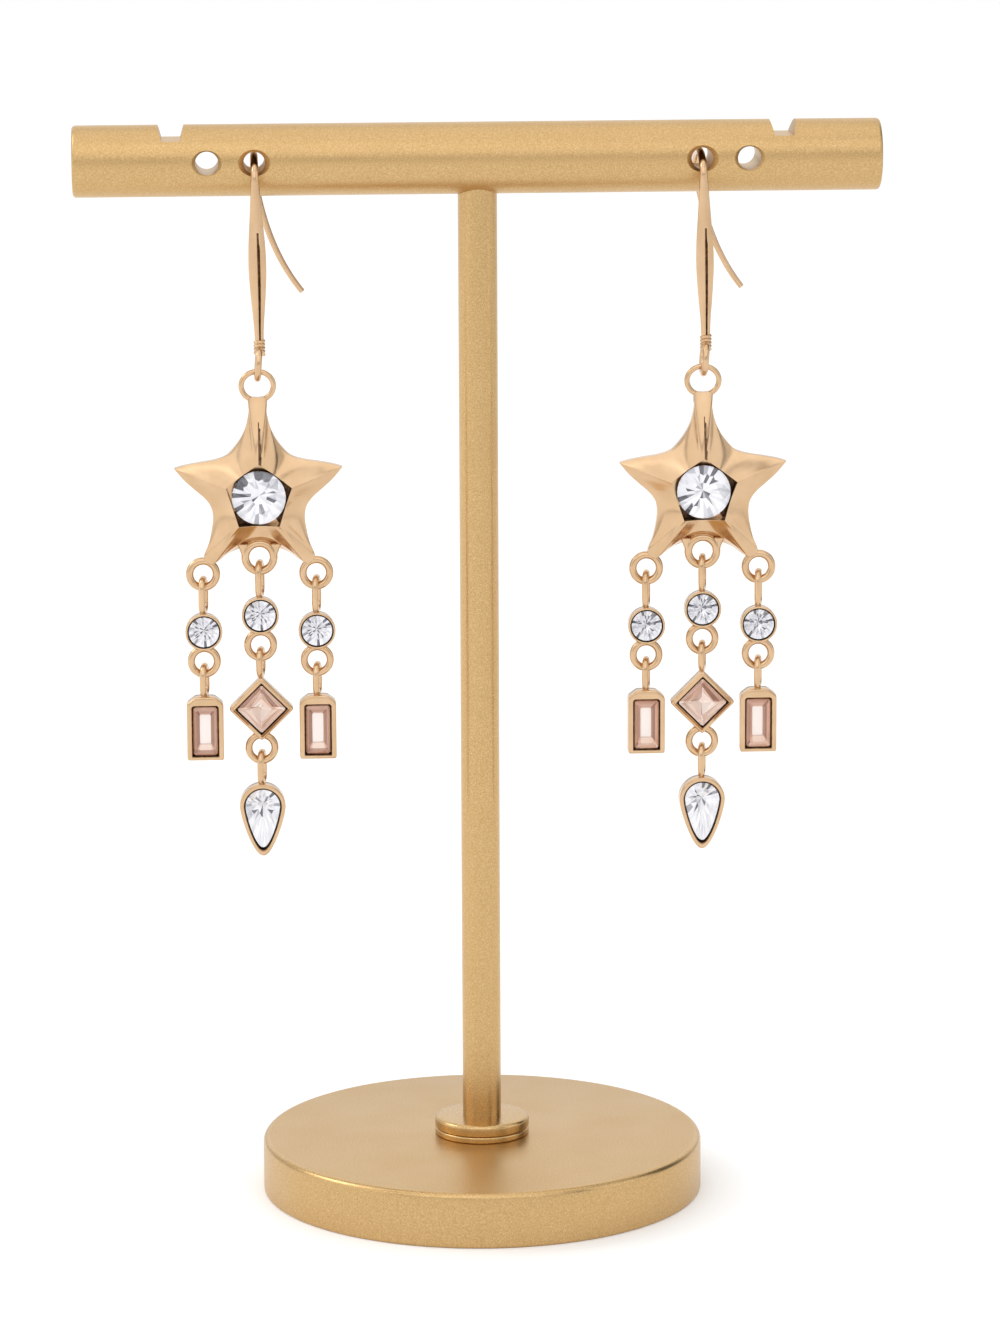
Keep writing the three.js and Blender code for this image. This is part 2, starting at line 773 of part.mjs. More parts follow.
function makeSquareSetting() {
  const { side, stoneSide, hang, lowerOverlap } = squareSetting;
  const corner = side / Math.SQRT2;
  const block = extrudeInY(rectangleOutline(side, side, 0.15), settingFront, settingBack);
  const opening = stoneSide + 2 * drop.stoneGap;
  const window = rectangleOutline(opening, opening, 0.1);
  const pocket = extrudeInY(window, settingFront - 1, settingBack - drop.floor);
  const body = cut(block, pocket).rotateY(Math.PI / 4);
  return join(body, hangingLoop(corner, hang), lowerLoop(-corner, lowerOverlap));
}

function makeSquareStone() {
  const { stoneSide, crown } = squareSetting;
  const outline = rectangleOutline(stoneSide, stoneSide, 0.15);
  const stone = stepCut(outline, crown, stoneDepth - crown * 0.5, { x: 0.42, y: 0.42 });
  return stone.translate(0, settingFront + crown * 0.5, 0).rotateY(Math.PI / 4);
}

function makePearSetting() {
  const { width, height, wall, hang, steps } = pearSetting;
  const body = extrudeInY(pearOutline(width, height, steps), settingFront, settingBack);
  const window = pearOutline(width - 2 * wall, height - 2.3 * wall, steps);
  const pocket = extrudeInY(window, settingFront - 1, settingBack - drop.floor);
  return join(cut(body, pocket), hangingLoop(width / 2, hang));
}

function makePearStone() {
  const { width, height, wall, crown, steps } = pearSetting;
  const shrink = 2 * (wall + drop.stoneGap);
  const outline = pearOutline(width - shrink, height - shrink * 1.25, steps);
  const stone = stepCut(outline, crown, stoneDepth - crown * 0.5, { x: 0.6, y: 0.64 });
  return stone.translate(0, settingFront + crown * 0.5, 0);
}

function makeStarStone() {
  const { width, crown, girdleUp } = starStone;
  const pavilion = girdleUp - star.pocketFloor - drop.culetGap;
  return brilliant(width / 2, crown, pavilion).translate(0, star.backOffset - girdleUp, 0);
}

// Assembly: where each piece hangs follows from the one above it

const hangers = {
  legRing: -star.legRingDown - legRing.width / 2 + legRing.wire,
  middleRing: -star.middleRingDown - star.middleRingHole / 2,
};

// Height of a setting's middle when its top loop hangs on a ring whose hole ends at holeBottom
function hangBelow(holeBottom, top, hang) {
  return holeBottom + drop.linkGap - top - hang;
}

// Bottom of the hole in a setting's lower loop
function lowerHoleBottom(middle, bottom, overlap) {
  return middle + lowerLoopMiddle(bottom, overlap) - drop.lowerHole / 2;
}

// One row for each drop: its names, its place under the star and its two pieces
function dropTable() {
  const rows = [];
  const roundTop = roundSetting.width / 2;
  const sideRound = hangBelow(hangers.legRing, roundTop, roundSetting.hang);
  const middleRound = hangBelow(hangers.middleRing, roundTop, roundSetting.hang);
  const rounds = [
    { x: -star.legRingOut, z: sideRound },
    { x: 0, z: middleRound },
    { x: star.legRingOut, z: sideRound },
  ];
  rounds.forEach((place, i) => {
    rows.push({ kind: 'round', tag: `_${i + 1}`, ...place, stone: 'clear' });
  });
  const baguetteTop = baguetteSetting.height / 2 + baguetteSetting.stoneLow;
  const sideHole = lowerHoleBottom(sideRound, -roundTop, drop.lowerOverlap);
  const baguette = hangBelow(sideHole, baguetteTop, baguetteSetting.hang);
  [-1, 1].forEach((side, i) => {
    const x = side * star.legRingOut;
    rows.push({ kind: 'baguette', tag: `_${i + 1}`, x, z: baguette, stone: 'peach' });
  });
  const corner = squareSetting.side / Math.SQRT2;
  const middleHole = lowerHoleBottom(middleRound, -roundTop, drop.lowerOverlap);
  const square = hangBelow(middleHole, corner, squareSetting.hang);
  rows.push({ kind: 'square', tag: '', x: 0, z: square, stone: 'peach' });
  const squareHole = lowerHoleBottom(square, -corner, squareSetting.lowerOverlap);
  const pear = hangBelow(squareHole, pearSetting.width / 2, pearSetting.hang);
  rows.push({ kind: 'pear', tag: '', x: 0, z: pear, stone: 'clear' });
  return rows;
}

const makers = {
  round: { setting: makeRoundSetting, stone: makeRoundStone },
  baguette: { setting: makeBaguetteSetting, stone: makeBaguetteStone },
  square: { setting: makeSquareSetting, stone: makeSquareStone },
  pear: { setting: makePearSetting, stone: makePearStone },
};

function piece(name, geometry, look) {
  const mesh = new THREE.Mesh(geometry, new THREE.MeshStandardMaterial(look));
  mesh.name = name;
  return mesh;
}

// Height of the star's stone under the bar's axis: the star's ring rests in the hook's eye
function starDrop() {
  const ringWire = (star.ringWire * star.ringHeight) / star.ringWidth;
  const eyeInside = -hook.eyeDrop + 1.5 * hook.eyeWire - hook.eyeHeight;
  return eyeInside + drop.linkGap + ringWire - star.ringHeight / 2 - star.ringUp;
}

function makeEarring(name) {
  const earring = new THREE.Group();
  earring.add(piece(`${name}_ear_hook`, makeHook(), finish.rose));
  const hanging = new THREE.Group();
  hanging.position.set(0, -arch.standOff, starDrop());
  hanging.add(piece(`${name}_star`, makeStar(), finish.rose));
  hanging.add(piece(`${name}_star_stone`, makeStarStone(), finish.clear));
  for (const row of dropTable()) {
    const hung = new THREE.Group();
    hung.position.set(row.x, 0, row.z);
    hung.add(piece(`${name}_${row.kind}_setting${row.tag}`, makers[row.kind].setting(), finish.rose));
    hung.add(piece(`${name}_${row.kind}_stone${row.tag}`, makers[row.kind].stone(), finish[row.stone]));
    hanging.add(hung);
  }
  earring.add(hanging);
  return earring;
}

function makeStand() {
  const stand = new THREE.Group();
  stand.add(piece('base_disc', makeBase(), finish.stand));
  stand.add(piece('collar', makeCollar(), finish.stand));
  stand.add(piece('post', makePost(), finish.stand));
  stand.add(piece('crossbar', makeBar(), finish.stand));
  return stand;
}

const display = new THREE.Group();
display.add(makeStand());
for (const [name, side] of [['left', -1], ['right', 1]]) {
  const earring = makeEarring(name);
  earring.position.set(side * hookHole.offset, 0, bar.height);
  display.add(earring);
}

export default display;
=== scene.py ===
"""Star chandelier earrings on a T-bar stand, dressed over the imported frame.

Sizes are in millimetres until a mesh is made, +Z is up and the front faces -Y.
"""

import math
import random
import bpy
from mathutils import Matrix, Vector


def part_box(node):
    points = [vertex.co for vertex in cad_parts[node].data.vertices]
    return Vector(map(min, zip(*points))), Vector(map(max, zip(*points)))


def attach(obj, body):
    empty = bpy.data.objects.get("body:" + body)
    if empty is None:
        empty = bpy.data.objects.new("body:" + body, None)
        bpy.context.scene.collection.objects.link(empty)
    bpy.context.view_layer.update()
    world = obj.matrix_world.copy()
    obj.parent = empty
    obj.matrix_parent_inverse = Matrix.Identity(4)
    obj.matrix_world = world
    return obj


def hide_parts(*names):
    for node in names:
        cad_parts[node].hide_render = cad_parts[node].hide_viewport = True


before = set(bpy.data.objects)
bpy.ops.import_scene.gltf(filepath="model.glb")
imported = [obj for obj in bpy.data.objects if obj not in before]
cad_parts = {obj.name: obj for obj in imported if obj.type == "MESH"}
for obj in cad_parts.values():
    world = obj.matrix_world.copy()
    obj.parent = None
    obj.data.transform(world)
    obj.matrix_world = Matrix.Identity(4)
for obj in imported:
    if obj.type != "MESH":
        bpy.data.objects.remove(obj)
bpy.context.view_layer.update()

from types import SimpleNamespace

import bpy
import numpy as np
from bpy.props import FloatProperty, FloatVectorProperty, IntProperty, PointerProperty
from mathutils import Quaternion, Vector

bl_info = {
    "name": "Star chandelier earrings on a T-bar",
    "version": (1, 0, 0),
    "blender": (4, 5, 0),
    "location": "View3D > Sidebar > Earrings",
    "description": "Builds the dressed pieces of the earrings and their stand over the CAD frame",
    "category": "Object",
}

MM = 0.001
SIDES = {"left": -1, "right": 1}

# Sizes in millimetres, the same ones as in the CAD, and the dressed pieces' own small edges

base = SimpleNamespace(radius=25.2, thickness=6.3, edge=0.7, foot=0.35)
collar = SimpleNamespace(
    radius=5.4, thickness=2.1, edge=0.45, lip=0.75, lip_edge=0.2, step_edge=0.25, fit=0.05,
)
post = SimpleNamespace(radius=2.2, top=116.7)
bar = SimpleNamespace(radius=4.0, length=90.0, axis=118.7, edge=0.42)
notch = SimpleNamespace(offset=34.05, top=2.9, bottom=2.1, depth=1.6)
view_hole = SimpleNamespace(offset=30.1, radius=1.3, chamfer=0.12)
hook_hole = SimpleNamespace(offset=24.85, radius=1.2, chamfer=0.28)
hook = SimpleNamespace(
    wire=0.84, eye_drop=20.4, eye_height=4.2, eye_wire=0.76, leaf_width=2.0, bend=1.5,
    crown=0.52, seat=0.46, lean=0.3, tail_length=13.6, tail_reach=5.3, tail_back=0.7,
    tail_wire=0.64, wrap_wire=0.4, wrap_turns=4.2, wrap_low=-0.75,
)
star = SimpleNamespace(
    reach=9.85, thickness=3.1, edge=1.0, back=0.55, pocket=3.86, floor=0.7, valley=0.76,
    ring_up=12.35, ring_width=4.2, ring_height=3.85, ring_wire=0.62, leg_out=6.33,
    leg_down=8.8, leg_width=3.85, leg_wire=0.86, middle_down=6.95, middle_hole=2.25,
    middle_wire=0.92, rim_ease=1.6, arch_lift=0.6,
)
drop = SimpleNamespace(
    lower_width=3.75, lower_hole=2.1, top_wire=0.74, top_gap=1.5, turn=10.0, root=0.3,
    lower_overlap=0.5, depth=2.0, floor=0.35, gap=0.12, culet=0.15, lip=0.08,
)
round_cup = SimpleNamespace(radius=2.07, stone=1.7, hang=3.5, crown=0.4)
baguette = SimpleNamespace(
    width=4.12, height=7.25, shoulder_x=1.0, shoulder_z=0.75, stone_x=2.7, stone_z=5.5,
    low=0.3, hang=3.05, crown=0.42, corner=0.3, window_corner=0.1, window_cut=0.16,
    stone_cut=0.2, table=(0.52, 0.76), keel=(0.44, 0.62),
)
square = SimpleNamespace(
    side=5.2, stone=3.9, hang=2.65, crown=0.42, overlap=1.0, slope=0.22, corner=0.35,
    window_corner=0.12, stone_cut=0.16, table=(0.46, 0.46), keel=(0.12, 0.12),
)
pear = SimpleNamespace(
    width=5.15, height=8.2, wall=0.5, hang=3.2, crown=0.45, bevel=0.14, taper=1.15,
    stone_taper=1.25, waist=0.3, waist_power=1.25, point_power=1.12,
)
star_stone = SimpleNamespace(radius=3.0, crown=0.72, girdle=2.1)

# Radius of the smallest ring in a turned end, in a disc and in a rod
hub = SimpleNamespace(disc=0.01, rod=0.001)
# How far a cutter reaches past the bar
SPARE = 1.0
# Steps along and round each shape
STEPS = SimpleNamespace(
    leg=64, bend=12, crown=24, tail=32, wrap=110, hook_sides=64, strut=12, strut_sides=20,
    hole_sides=48, cup_sides=80, lip=8, bevel=4,
)

# Widths of the hook's front leg from its eye up: share of the way, half width and half depth
LEAF = ((0, 0.48, 0.95), (0.12, 0.53, 0.9), (0.3, 0.82, 0.8), (0.46, 1, 0.78),
        (0.6, 0.95, 0.8), (0.78, 0.7, 0.9), (0.95, 0.5, 1), (1, 0.45, 1))
# Depth of the groove down the leaf's front: share of the way and share of the leaf's half depth
GROOVE = ((0, 0.45), (0.12, 0.6), (0.4, 0.8), (0.6, 0.8), (0.69, 0))
# Painted dark reflection in the crease beside the star's top ridge and painted shade in the corners
# of its pocket, as shares
shade_paint = SimpleNamespace(crease=0.62, widening=3, corner=0.3)
# Groove down the hook's leaf: its place off the middle and half width, and where and how wide its
# front faces get painted shade, as shares
groove = SimpleNamespace(off_middle=0.17, half_width=0.22, dark_from=0.1, dark_half=0.15)
# Ridge of the leaf, fade of its lean, sway and fall of the tail and pitch of the wrap, as shares
bent = SimpleNamespace(
    ridge=0.45, lean_fade=0.7, tail_sway=0.22, tail_fall=0.62, wrap_around=0.62, wrap_pitch=0.96,
)
# Struts between the star's arch and its middle ring, as shares of the ring, its wire and the edge
struts = SimpleNamespace(spread=0.18, width=0.42, swell=0.3, depth=0.45, top=0.4)
# Back of the round cup: share of its radius and of its half depth
CUP_BACK = ((0.72, 1), (0.8, 0.96), (0.94, 0.7), (1, 0.4))
# Brilliant cut as shares of the girdle, the crown and the pavilion
facets = SimpleNamespace(
    table=0.56, star=0.78, star_up=0.52, waist=(0.6, 0.68), waist_down=0.38, deep=0.3,
    deep_down=0.72,
)
GIRDLE = (-0.03, 0.05)
# Painted brightness of the stones' facets, standing in for the light each catches; where their
# tables are, painted brightest, and where the pear's pale tail begins, painted paler
sparkle = SimpleNamespace(brightest=0.9, baguette=0.5, tail=0.5, flat=0.98, tail_from=0.2)
# A rounded corner takes at most this share of an edge
CORNER_SHARE = 0.45
# An eased edge takes this share of its bevel or lip
EASE_SHARE = 0.3

# How hollow each of the star's five faces is, clockwise from the top right one
SCOOPS = (0.25, 0.7, 0.1, 0.7, 0.25)

# Outline of the star's right half as shares of its reach, from ridge to ridge
SHOULDER = ((0, 1.125), (0.104, 1.115), (0.1, 0.98), (0.132, 0.81), (0.193, 0.67),
            (0.275, 0.555), (0.365, 0.465), (0.5, 0.418), (0.68, 0.388), (0.84, 0.358),
            (0.951, 0.325))
FLANK = ((0.951, 0.325), (0.842, 0.195), (0.726, 0.088), (0.62, -0.005), (0.553, -0.09),
         (0.526, -0.165), (0.52, -0.265), (0.538, -0.395), (0.572, -0.54), (0.63, -0.69),
         (0.59, -0.755))
ARCH_FRONT = ((0.59, -0.755), (0.526, -0.772), (0.396, -0.66), (0.245, -0.548),
              (0.125, -0.478), (0, -0.456))
ARCH_BACK = ((0.59, -0.755), (0.52, -0.79), (0.43, -0.73), (0.325, -0.655),
             (0.165, -0.596), (0, -0.575))


# Settings that the panel shows


class StandSettings(bpy.types.PropertyGroup):
    """Finish and detail of the stand."""

    segments: IntProperty(
        name="Segments", description="Faces round the bar and the post", default=128
    )
    base_segments: IntProperty(
        name="Base segments", description="Faces round the base disc", default=256
    )
    grain: FloatProperty(
        name="Grain", description="Height of the blasted grain",
        default=0.000015, subtype="DISTANCE", unit="LENGTH",
    )
    grain_scale: FloatProperty(
        name="Grain per metre", description="Scale of the grain's noise", default=6500.0
    )


class MetalSettings(bpy.types.PropertyGroup):
    """Finish and detail of the rose gold."""

    wire_sides: IntProperty(name="Wire sides", description="Faces round each wire", default=20)
    row_steps: IntProperty(
        name="Outline steps", description="Steps between two rows of the star's outline", default=5
    )
    depth_steps: IntProperty(
        name="Scoop steps", description="Steps from the pocket to the star's edge", default=22
    )
    softened: FloatProperty(
        name="Softened edge", description="Radius that rounds the edges in shading",
        default=0.00009, subtype="DISTANCE", unit="LENGTH",
    )
    frame_bevel: FloatProperty(
        name="Frame bevel", description="Bevel of a setting's frame, in millimetres", default=0.22
    )


class StoneSettings(bpy.types.PropertyGroup):
    """Cut and foil of the stones."""

    seed: IntProperty(name="Seed", description="Seed of the facets' brightness", default=11)
    ior: FloatProperty(
        name="Gloss", description="Index of refraction of the stones' polish", default=1.75
    )


def power(label, source, watts):
    """Setting for the strength of a softbox."""
    text = f"Strength of the {source}"
    return FloatProperty(name=label, description=text, default=watts, unit="POWER")


def angle(label, text, degrees):
    """Setting for an angle of the camera."""
    return FloatProperty(
        name=label, description=text, default=math.radians(degrees),
        subtype="ANGLE", unit="ROTATION",
    )


class StageSettings(bpy.types.PropertyGroup):
    """Camera and light."""

    camera: FloatVectorProperty(
        name="Camera", description="Where the camera stands",
        default=(-0.03070, -0.58587, 0.17519), subtype="TRANSLATION", unit="LENGTH",
    )
    pitch: angle("Pitch", "How far the camera looks down", 11.012)
    yaw: angle("Yaw", "How far the camera looks to the right", 3.0)
    roll: angle("Roll", "How far the picture turns against the clock", 0.289)
    lens: FloatProperty(name="Lens", description="Focal length in millimetres", default=142.39)
    shift: FloatProperty(
        name="Shift", description="Shift of the picture to the left", default=0.01519
    )
    key: power("Left light", "left softbox", 2.4)
    rim: power("Rim light", "small softbox at the left", 3.6)
    fill: power("Right light", "right softbox", 1.8)
    top: power("Top light", "softbox overhead", 3.6)
    front: power("Front light", "softbox behind the camera", 5.8)
    back: power("Back light", "softbox behind the object", 5.2)
    room: FloatProperty(name="Room light", description="Brightness of the white room", default=0.8)
    glow: FloatProperty(
        name="Floor glow", description="Light that the white floor gives off", default=0.12
    )


# Shapes as rings of points in millimetres


def round_angles(count, start=0.0):
    """Angles at even steps of a full turn."""
    return 2 * math.pi * (np.arange(count) + start) / count


def curve_through(rows, steps):
    """Points on a smooth curve through the rows and the share of the way at each."""
    table = np.array(rows, float)
    padded = np.vstack([table[:1], table, table[-1:]])
    t = (np.arange(steps) / steps)[:, None]
    points = []
    for k in range(len(table) - 1):
        before, a, b, after = padded[k:k + 4]
        pull = (b - before) * (t * (1 - t) ** 2) - (after - a) * (t * t * (1 - t))
        points.append(a * (1 + 2 * t) * (1 - t) ** 2 + b * t * t * (3 - 2 * t) + pull * 0.5)
    points = np.vstack([*points, table[-1:]])
    return points, np.linspace(0, 1, len(points))


def eased_leaf(share):
    """Half width and half depth of the hook's front leg, eased over a short stretch."""
    at, wide, thick = np.array(LEAF).T
    near = np.clip(share + np.linspace(-0.05, 0.05, 5), 0, 1)
    across, deep = np.interp(near, at, wide).mean(), np.interp(near, at, thick).mean()
    return across * hook.leaf_width / 2, deep * hook.wire / 2


def outward(points, faces):
    """The faces, turned so that their normals point out."""
    volume = sum(np.dot(points[f[0]], np.cross(points[f[k]], points[f[k + 1]]))
                 for f in faces for k in range(1, len(f) - 1))
    return [f[::-1] for f in faces] if volume < 0 else faces


def skin(rings):
    """Points and faces of a closed skin over rings with the same number of points."""
    rings = [np.asarray(r, float) for r in rings]
    count = len(rings[0])
    last = (len(rings) - 1) * count
    pairs = [(i, (i + 1) % count) for i in range(count)]
    faces = [(r + i, r + j, r + count + j, r + count + i)
             for r in range(0, last, count) for i, j in pairs]
    hub = last + count
    faces += [(hub, j, i) for i, j in pairs]
    faces += [(hub + 1, last + i, last + j) for i, j in pairs]
    points = np.vstack([*rings, rings[0].mean(0), rings[-1].mean(0)])
    return points, outward(points, faces)


def turned(profile, segments, axis="Z"):
    """Skin of a profile of (radius, height) rows turned about Z or Y."""
    a = round_angles(segments)
    order = [0, 1, 2] if axis == "Z" else [0, 2, 1]
    rings = [np.stack([r * np.cos(a), r * np.sin(a), np.full(segments, h)], axis=1)
             for r, h in profile]
    return skin([ring[:, order] for ring in rings])


def rounded_rim(radius, height, edge, steps=6, down=False):
    """Rows of a quarter round that ends a profile at the given height."""
    a = np.linspace(0, math.pi / 2, steps + 1)
    out, up = radius - edge * (1 - np.cos(a)), height - edge * (1 - np.sin(a))
    rows = list(zip(out, up))
    return [(r, 2 * height - z) for r, z in reversed(rows)] if down else rows


def moved(part, offset):
    """The part moved by an offset."""
    points, faces = part
    return points + np.asarray(offset, float), faces


def together(parts):
    """One part from several."""
    points, faces, start = [], [], 0
    for p, f in parts:
        points.append(p)
        faces += [tuple(i + start for i in face) for face in f]
        start += len(p)
    return np.concatenate(points), faces


# Objects


def linked(name, data):
    """An object with this data, in the scene."""
    obj = bpy.data.objects.new(name, data)
    bpy.context.collection.objects.link(obj)
    return obj


def mesh_object(name, part, materials=()):
    """A mesh object from a part."""
    points, faces = part
    mesh = bpy.data.meshes.new(name)
    mesh.from_pydata([tuple(p) for p in np.asarray(points, float) * MM], [], faces)
    for material in materials:
        mesh.materials.append(material)
    return linked(name, mesh)


def evaluated_part(obj):
    """The part that an object's modifiers make, after which the object is deleted."""
    graph = bpy.context.evaluated_depsgraph_get()
    made = bpy.data.meshes.new_from_object(obj.evaluated_get(graph))
    co = np.zeros(len(made.vertices) * 3)
    made.vertices.foreach_get("co", co)
    faces = [tuple(p.vertices) for p in made.polygons]
    bpy.data.meshes.remove(made)
    bpy.data.meshes.remove(obj.data)
    return co.reshape(-1, 3) / MM, faces


def set_inputs(node, values):
    """Set a node's inputs by their names."""
    for socket, value in values.items():
        node.inputs[socket].default_value = value


# Wires, swept along their paths by one node tree


def loop_path(width, height, wire, turn=0.0, centre=(0, 0, 0), steps=56):
    """Closed path of a loop of round wire in the XZ plane, turned about Z by an angle."""
    bend = (width - wire) / 2
    straight = max(height - width, 0) / 2
    squeeze = (min(height, width) - wire) / (width - wire)
    a = round_angles(steps, 0.5)
    x, z = bend * np.cos(a), bend * squeeze * np.sin(a) + straight * np.sign(np.sin(a))
    rows = np.stack([x * math.cos(turn), x * math.sin(turn), z], axis=1)
    return rows + np.array(centre, float), wire / 2, True


def wire_tree(sides, material):
    """Node tree that sweeps round wire along its mesh's paths, and the socket of its side count."""
    tree = bpy.data.node_groups.new("wire along a path", "GeometryNodeTree")
    face, add = tree.interface, tree.nodes.new
    face.new_socket("Path", in_out="INPUT", socket_type="NodeSocketGeometry")
    count = face.new_socket("Sides", in_out="INPUT", socket_type="NodeSocketInt")
    count.default_value = sides
    face.new_socket("Wire", in_out="OUTPUT", socket_type="NodeSocketGeometry")
    given, out = add("NodeGroupInput"), add("NodeGroupOutput")
    curve, circle = add("GeometryNodeMeshToCurve"), add("GeometryNodeCurvePrimitiveCircle")
    radius, read = add("GeometryNodeSetCurveRadius"), add("GeometryNodeInputNamedAttribute")
    sweep, real = add("GeometryNodeCurveToMesh"), add("GeometryNodeRealizeInstances")
    coat = add("GeometryNodeSetMaterial")
    read.data_type = "FLOAT"
    set_inputs(read, {"Name": "wire_radius"})
    set_inputs(circle, {"Radius": 1.0})
    set_inputs(sweep, {"Fill Caps": True})
    set_inputs(coat, {"Material": material})
    for source, output, target, socket in (
        (given, "Path", curve, "Mesh"),
        (curve, "Curve", radius, "Curve"),
        (read, "Attribute", radius, "Radius"),
        (radius, "Curve", sweep, "Curve"),
        (given, "Sides", circle, "Resolution"),
        (circle, "Curve", sweep, "Profile Curve"),
        (read, "Attribute", sweep, "Scale"),
        (sweep, "Mesh", real, "Geometry"),
        (real, "Geometry", coat, "Geometry"),
        (coat, "Geometry", out, "Wire"),
    ):
        tree.links.new(source.outputs[output], target.inputs[socket])
    return tree, count.identifier


def wires(paths, sides, material):
    """Part made by sweeping round wire along paths of (points, radius, closed)."""
    points, edges, radii = [], [], []
    for rows, radius, ring in paths:
        start = len(points)
        points += [tuple(p * MM) for p in rows]
        radii += [radius * MM] * len(rows)
        edges += [(start + i, start + i + 1) for i in range(len(rows) - 1)]
        if ring:
            edges.append((start + len(rows) - 1, start))
    mesh = bpy.data.meshes.new("wire_paths")
    mesh.from_pydata(points, edges, [])
    mesh.attributes.new("wire_radius", "FLOAT", "POINT").data.foreach_set("value", radii)
    obj = linked("wire_paths", mesh)
    tree, socket = wire_tree(sides, material)
    modifier = obj.modifiers.new("wire along a path", "NODES")
    modifier.node_group = tree
    modifier[socket] = sides
    part = evaluated_part(obj)
    bpy.data.node_groups.remove(tree)
    return part


# Materials


def new_material(name, values):
    """A node material and its shader with these values, or just the material if it's there."""
    material = bpy.data.materials.get(name)
    if material:
        return material, None
    material = bpy.data.materials.new(name)
    material.use_nodes = True
    shader = material.node_tree.nodes["Principled BSDF"]
    set_inputs(shader, values)
    return material, shader


def noise_at(tree, scale, detail=2.0):
    """Noise in the object's own coordinates."""
    where = tree.nodes.new("ShaderNodeTexCoord")
    noise = tree.nodes.new("ShaderNodeTexNoise")
    set_inputs(noise, {"Scale": scale, "Detail": detail})
    tree.links.new(where.outputs["Object"], noise.inputs["Vector"])
    return noise.outputs["Fac"]


def colour_by(shader, value, *stops):
    """Colour the shader by a value through a ramp of (place, colour) stops."""
    tree = shader.id_data
    ramp = tree.nodes.new("ShaderNodeValToRGB")
    while len(ramp.color_ramp.elements) < len(stops):
        ramp.color_ramp.elements.new(0.5)
    for element, (place, colour) in zip(ramp.color_ramp.elements, stops):
        element.position = place
        element.color = (*colour, 1)
    tree.links.new(value, ramp.inputs["Fac"])
    tree.links.new(ramp.outputs["Color"], shader.inputs["Base Color"])


def roughen(shader, value, low, high):
    """Spread the shader's roughness from low to high over the middle of a noise."""
    tree = shader.id_data
    node = tree.nodes.new("ShaderNodeMapRange")
    set_inputs(node, {"From Min": 0.3, "From Max": 0.7, "To Min": low, "To Max": high})
    tree.links.new(value, node.inputs["Value"])
    tree.links.new(node.outputs["Result"], shader.inputs["Roughness"])


def emboss(shader, height, strength, distance):
    """Bump the shader's surface by a height and return the bump node."""
    tree = shader.id_data
    bump = tree.nodes.new("ShaderNodeBump")
    set_inputs(bump, {"Strength": strength, "Distance": distance})
    tree.links.new(height, bump.inputs["Height"])
    tree.links.new(bump.outputs["Normal"], shader.inputs["Normal"])
    return bump


def satin_gold(name, rough, strength):
    """Blasted gold of the stand: a fine grain over soft patches."""
    options = bpy.context.scene.earring_stand
    material, shader = new_material(name, {"Metallic": 1.0})
    if shader:
        grain = noise_at(material.node_tree, options.grain_scale, 3.0)
        colour_by(shader, grain, (0.3, (0.50, 0.32, 0.13)), (0.5, (0.575, 0.375, 0.165)),
                  (0.72, (0.69, 0.48, 0.25)))
        roughen(shader, noise_at(material.node_tree, 140.0), rough - 0.03, rough + 0.04)
        emboss(shader, grain, strength, options.grain)
    return material


def rose_gold():
    """Polished rose gold with faint wipe marks and softened edges."""
    material, shader = new_material("polished_rose", {"Metallic": 1.0})
    if shader:
        tree = material.node_tree
        cloud = noise_at(tree, 420.0)
        colour_by(shader, cloud, (0.3, (0.62, 0.415, 0.24)), (0.7, (0.69, 0.475, 0.29)))
        roughen(shader, cloud, 0.13, 0.21)
        bump = emboss(shader, noise_at(tree, 9000.0, 1.0), 0.12, 0.00001)
        soft = tree.nodes.new("ShaderNodeBevel")
        soft.samples = 4
        set_inputs(soft, {"Radius": bpy.context.scene.earring_metal.softened})
        tree.links.new(soft.outputs["Normal"], bump.inputs["Normal"])
    return material


def dark_seam():
    """Dark gold that paints shade in grooves, in the star's pocket and round the stones, and a dark
    reflection beside the star's top ridge.
    """
    material, shader = new_material("dark_seam", {"Metallic": 1.0, "Roughness": 0.5})
    if shader:
        colour_by(shader, noise_at(material.node_tree, 2500.0), (0.35, (0.1, 0.055, 0.03)),
                  (0.7, (0.3, 0.17, 0.09)))
    return material


def facet_value(shader):
    """The number kept on each facet."""
    facet = shader.id_data.nodes.new("ShaderNodeAttribute")
    facet.attribute_name = "facet"
    return facet.outputs["Fac"]


def crystal(name, deep, middle, pale):
    """Clear front of a stone, each facet with its own depth of tint: the stone's own tint, made
    deeper or paler per facet as painted light and shade.
    """
    material, shader = new_material(name, {
        "Transmission Weight": 1.0, "Roughness": 0.0, "IOR": 1.0, "Coat Weight": 1.0,
        "Coat Roughness": 0.02, "Coat IOR": bpy.context.scene.earring_stones.ior,
    })
    if shader:
        colour_by(shader, facet_value(shader), (0.0, deep), (0.14, middle), (1.0, pale))
    return material


def foil(name, dark, middle, light):
    """Mirrored back of a stone, where each facet is painted with its own brightness, which stands
    in for the share of the light it catches.
    """
    material, shader = new_material(name, {"Metallic": 0.45, "Roughness": 0.12})
    if shader:
        colour_by(shader, facet_value(shader), (0.1, dark), (0.26, middle), (1.0, light))
    return material


# Pieces


def add_piece(name, part, materials, body, nodes, sharp=35.0):
    """A mesh object at the origin that rides on a body and stands for CAD nodes."""
    obj = mesh_object(name, part, materials)
    if sharp:
        obj.data.shade_smooth()
        obj.data.set_sharp_from_angle(angle=math.radians(sharp))
    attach(obj, body)
    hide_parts(*nodes)
    return obj


def paint(piece, faces):
    """Give the piece's second material to the faces with these numbers."""
    for number in faces:
        piece.data.polygons[number].material_index = 1


